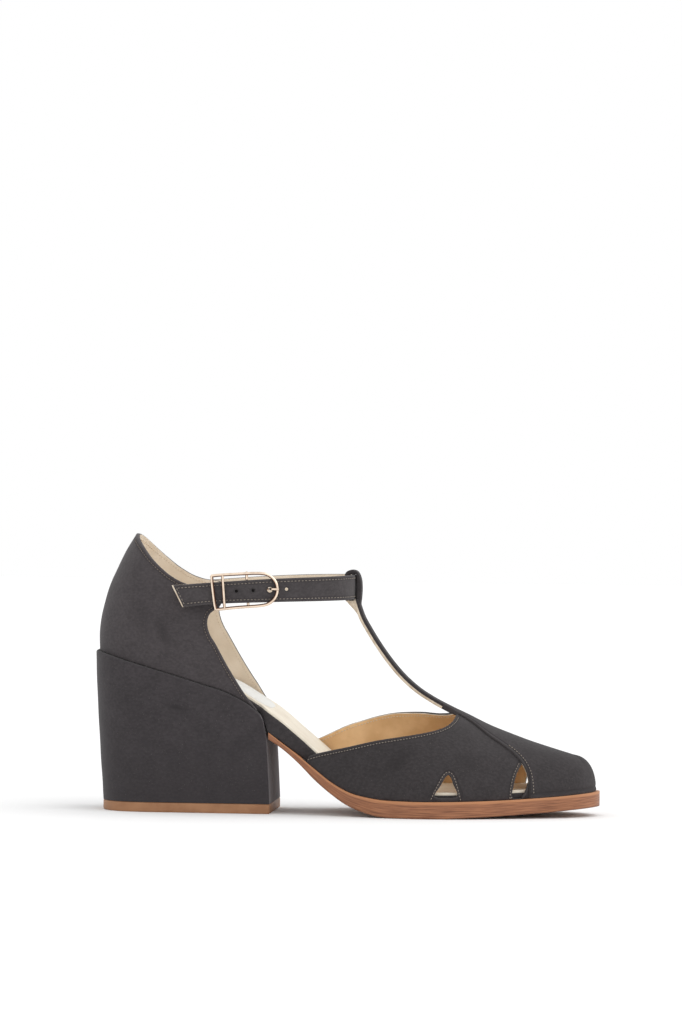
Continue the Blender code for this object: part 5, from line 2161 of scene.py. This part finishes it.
@dataclass(frozen=True)
class Studio:
    """Camera at the photograph's angle, a pale floor and soft light."""

    azimuth: float = 5.5
    elevation: float = 1.45
    roll: float = 0.6
    distance: float = 3000.0
    scale: float = 0.48
    image_height: float = 1024.0
    sensor: float = 36.0
    aim: Triple = (71.9, 0.0, 144.0)
    clip_end: float = 10.0
    floor_half: float = 3000.0
    floor_tone: Triple = (242.0, 242.0, 242.0)
    sky: float = 1.0
    lamp: float = 1.1
    lamp_angle: float = 70.0
    lamp_from: Triple = (0.9, -0.1, 1.0)

    def camera(self) -> None:
        """Sets the camera up: far away, so that the view is nearly without perspective."""
        azimuth, elevation, roll = np.radians((self.azimuth, self.elevation, self.roll))
        flat = np.cos(elevation)
        back = Vector((np.sin(azimuth) * flat, -np.cos(azimuth) * flat, np.sin(elevation)))
        level = Vector((np.cos(azimuth), np.sin(azimuth), 0.0))
        upright = back.cross(level)
        right = level * np.cos(roll) + upright * np.sin(roll)
        up = upright * np.cos(roll) - level * np.sin(roll)
        data = bpy.data.cameras.new("camera")
        data.sensor_width = self.sensor
        data.lens = self.sensor * self.distance / (self.image_height * self.scale)
        data.clip_end = self.clip_end
        camera = bpy.data.objects.new("camera", data)
        turned = Matrix((right, up, back)).transposed().to_4x4()
        place = Matrix.Translation((Vector(self.aim) + back * self.distance) * MM)
        camera.matrix_world = place @ turned
        bpy.context.scene.collection.objects.link(camera)
        bpy.context.scene.camera = camera

    def floor(self) -> None:
        """Lays the pale floor."""
        half = self.floor_half * MM
        mesh = bpy.data.meshes.new("floor")
        corners = [(-half, -half, 0.0), (half, -half, 0.0), (half, half, 0.0), (-half, half, 0.0)]
        mesh.from_pydata(corners, [], [(0, 1, 2, 3)])
        graph = Graph("floor", 0.9, 0.1)
        graph.set(tone(*self.floor_tone), "Base Color")
        mesh.materials.append(graph.material)
        floor = bpy.data.objects.new("floor", mesh)
        bpy.context.scene.collection.objects.link(floor)

    def light(self) -> None:
        """Lights the shoe with a white sky and one wide soft lamp from above."""
        scene = bpy.context.scene
        world = bpy.data.worlds.new("sky")
        world.use_nodes = True
        sky = world.node_tree.nodes["Background"]
        sky.inputs["Color"].default_value = (1.0, 1.0, 1.0, 1.0)
        sky.inputs["Strength"].default_value = self.sky
        scene.world = world
        data = bpy.data.lights.new("lamp", "SUN")
        data.energy = self.lamp
        data.angle = np.radians(self.lamp_angle)
        lamp = bpy.data.objects.new("lamp", data)
        lamp.rotation_euler = Vector(self.lamp_from).to_track_quat("Z", "Y").to_euler()
        scene.collection.objects.link(lamp)
        scene.view_settings.view_transform = "Standard"


def place_bottom() -> None:
    """Places the heel, its top piece, the sole, the board, the sock and the pad."""
    heel, bottom = Heel(), Bottom()
    nubuck, tip = (Finish.HEEL_NUBUCK.make(),), (Finish.TOP_PIECE.make(),)
    heel.block().place("heel", nubuck, "nubuck", ("heel_block",), WELD)
    edge, under = Finish.SOLE_EDGE.make(), Finish.SOLE_UNDER.make()
    # The board's wrap takes the darker copy of the nubuck, which is painted shade.
    layers = (Finish.SHADED_NUBUCK, Finish.SOCK, Finish.PAD)
    cover, sock, pad = ((finish.make(),) * 3 for finish in layers)
    pieces = (
        ("top_piece", heel.top_piece(), tip, "tip_leather", ("heel_tip",)),
        ("sole", bottom.outsole(), (edge, under, edge), "sole_edge", ("outsole",)),
        ("insole_wrap", bottom.board(), cover, "nubuck", ("insole_board",)),
        ("sock", bottom.sock(), sock, "sock_leather", ("insole_sock",)),
        ("heel_pad", bottom.pad(), pad, "sock_leather", ()),
    )
    for name, shape, finishes, slot, solids in pieces:
        shape.place(name, finishes, slot, solids, sharp=LAYER_SHARP)


def place_upper() -> None:
    """Places the two uppers with their seams."""
    front, rear = FrontUpper(), RearUpper()
    nubuck, raw = Finish.NUBUCK.make(), Finish.RAW_EDGE.make()
    # The front pieces take the darker copy of the nubuck, which is painted shade.
    dark = Finish.SHADED_NUBUCK.make()
    tan = (dark, Finish.TAN_LINING.make(), raw)
    cream = (nubuck, Finish.CREAM_LINING.make(), raw)
    front.side_wall().place("front_upper", tan, "nubuck", ("vamp",), FOLD_WELD, SHEET_SHARP)
    front.toe_piece().place("toe_piece", (dark, raw, raw), "nubuck", (), FOLD_WELD, SHEET_SHARP)
    front.strap_loop().place("strap_loop", (dark, dark, raw), "nubuck", sharp=SHEET_SHARP)
    rear.shape().place("rear_upper", cream, "nubuck", ("counter",), FOLD_WELD, SHEET_SHARP)
    sewn = (("front", front, Finish.THREAD), ("rear", rear, Finish.DARK_THREAD))
    for name, piece, thread in sewn:
        outside, inside = piece.seams()
        outside.place(f"{name}_stitches", (thread.make(),), "nubuck")
        inside.place(f"{name}_lining_stitches", (Finish.LINING_THREAD.make(),), "nubuck")


def place_strap() -> None:
    """Places the strap, the buckle, its prong and its tab."""
    strap, buckle = AnkleStrap(), Buckle()
    nubuck, raw = Finish.STRAP_NUBUCK.make(), Finish.RAW_EDGE.make()
    metal = (Finish.METAL.make(),)
    lined = (nubuck, Finish.CREAM_LINING.make(), raw)
    leather = strap.shape()
    leather.place("ankle_leather", lined, "nubuck", ("ankle_strap",), WELD, SHEET_SHARP)
    # The hole ends take the darker copy of the nubuck, which is painted shade.
    strap.hole_ends().place("hole_ends", (Finish.SHADED_NUBUCK.make(),), "nubuck")
    strap.seams().place("strap_stitches", (Finish.THREAD.make(),), "nubuck")
    buckle.frame().place("buckle", metal, "rose_gold", ("buckle_frame",))
    buckle.prong().place("prong", metal, "rose_gold", ("buckle_prong",))
    buckle.tab().place("tab_leather", (nubuck, nubuck, raw), "nubuck", ("buckle_tab",))


def main() -> None:
    """Loads the solids, builds the shoe on them and sets up the studio."""
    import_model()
    LOG.info("solids loaded")
    place_bottom()
    place_upper()
    place_strap()
    studio = Studio()
    studio.camera()
    studio.floor()
    studio.light()
    LOG.info("studio set up")


if __name__ == "__main__":
    logging.basicConfig(level=logging.INFO, format="%(message)s")
    main()
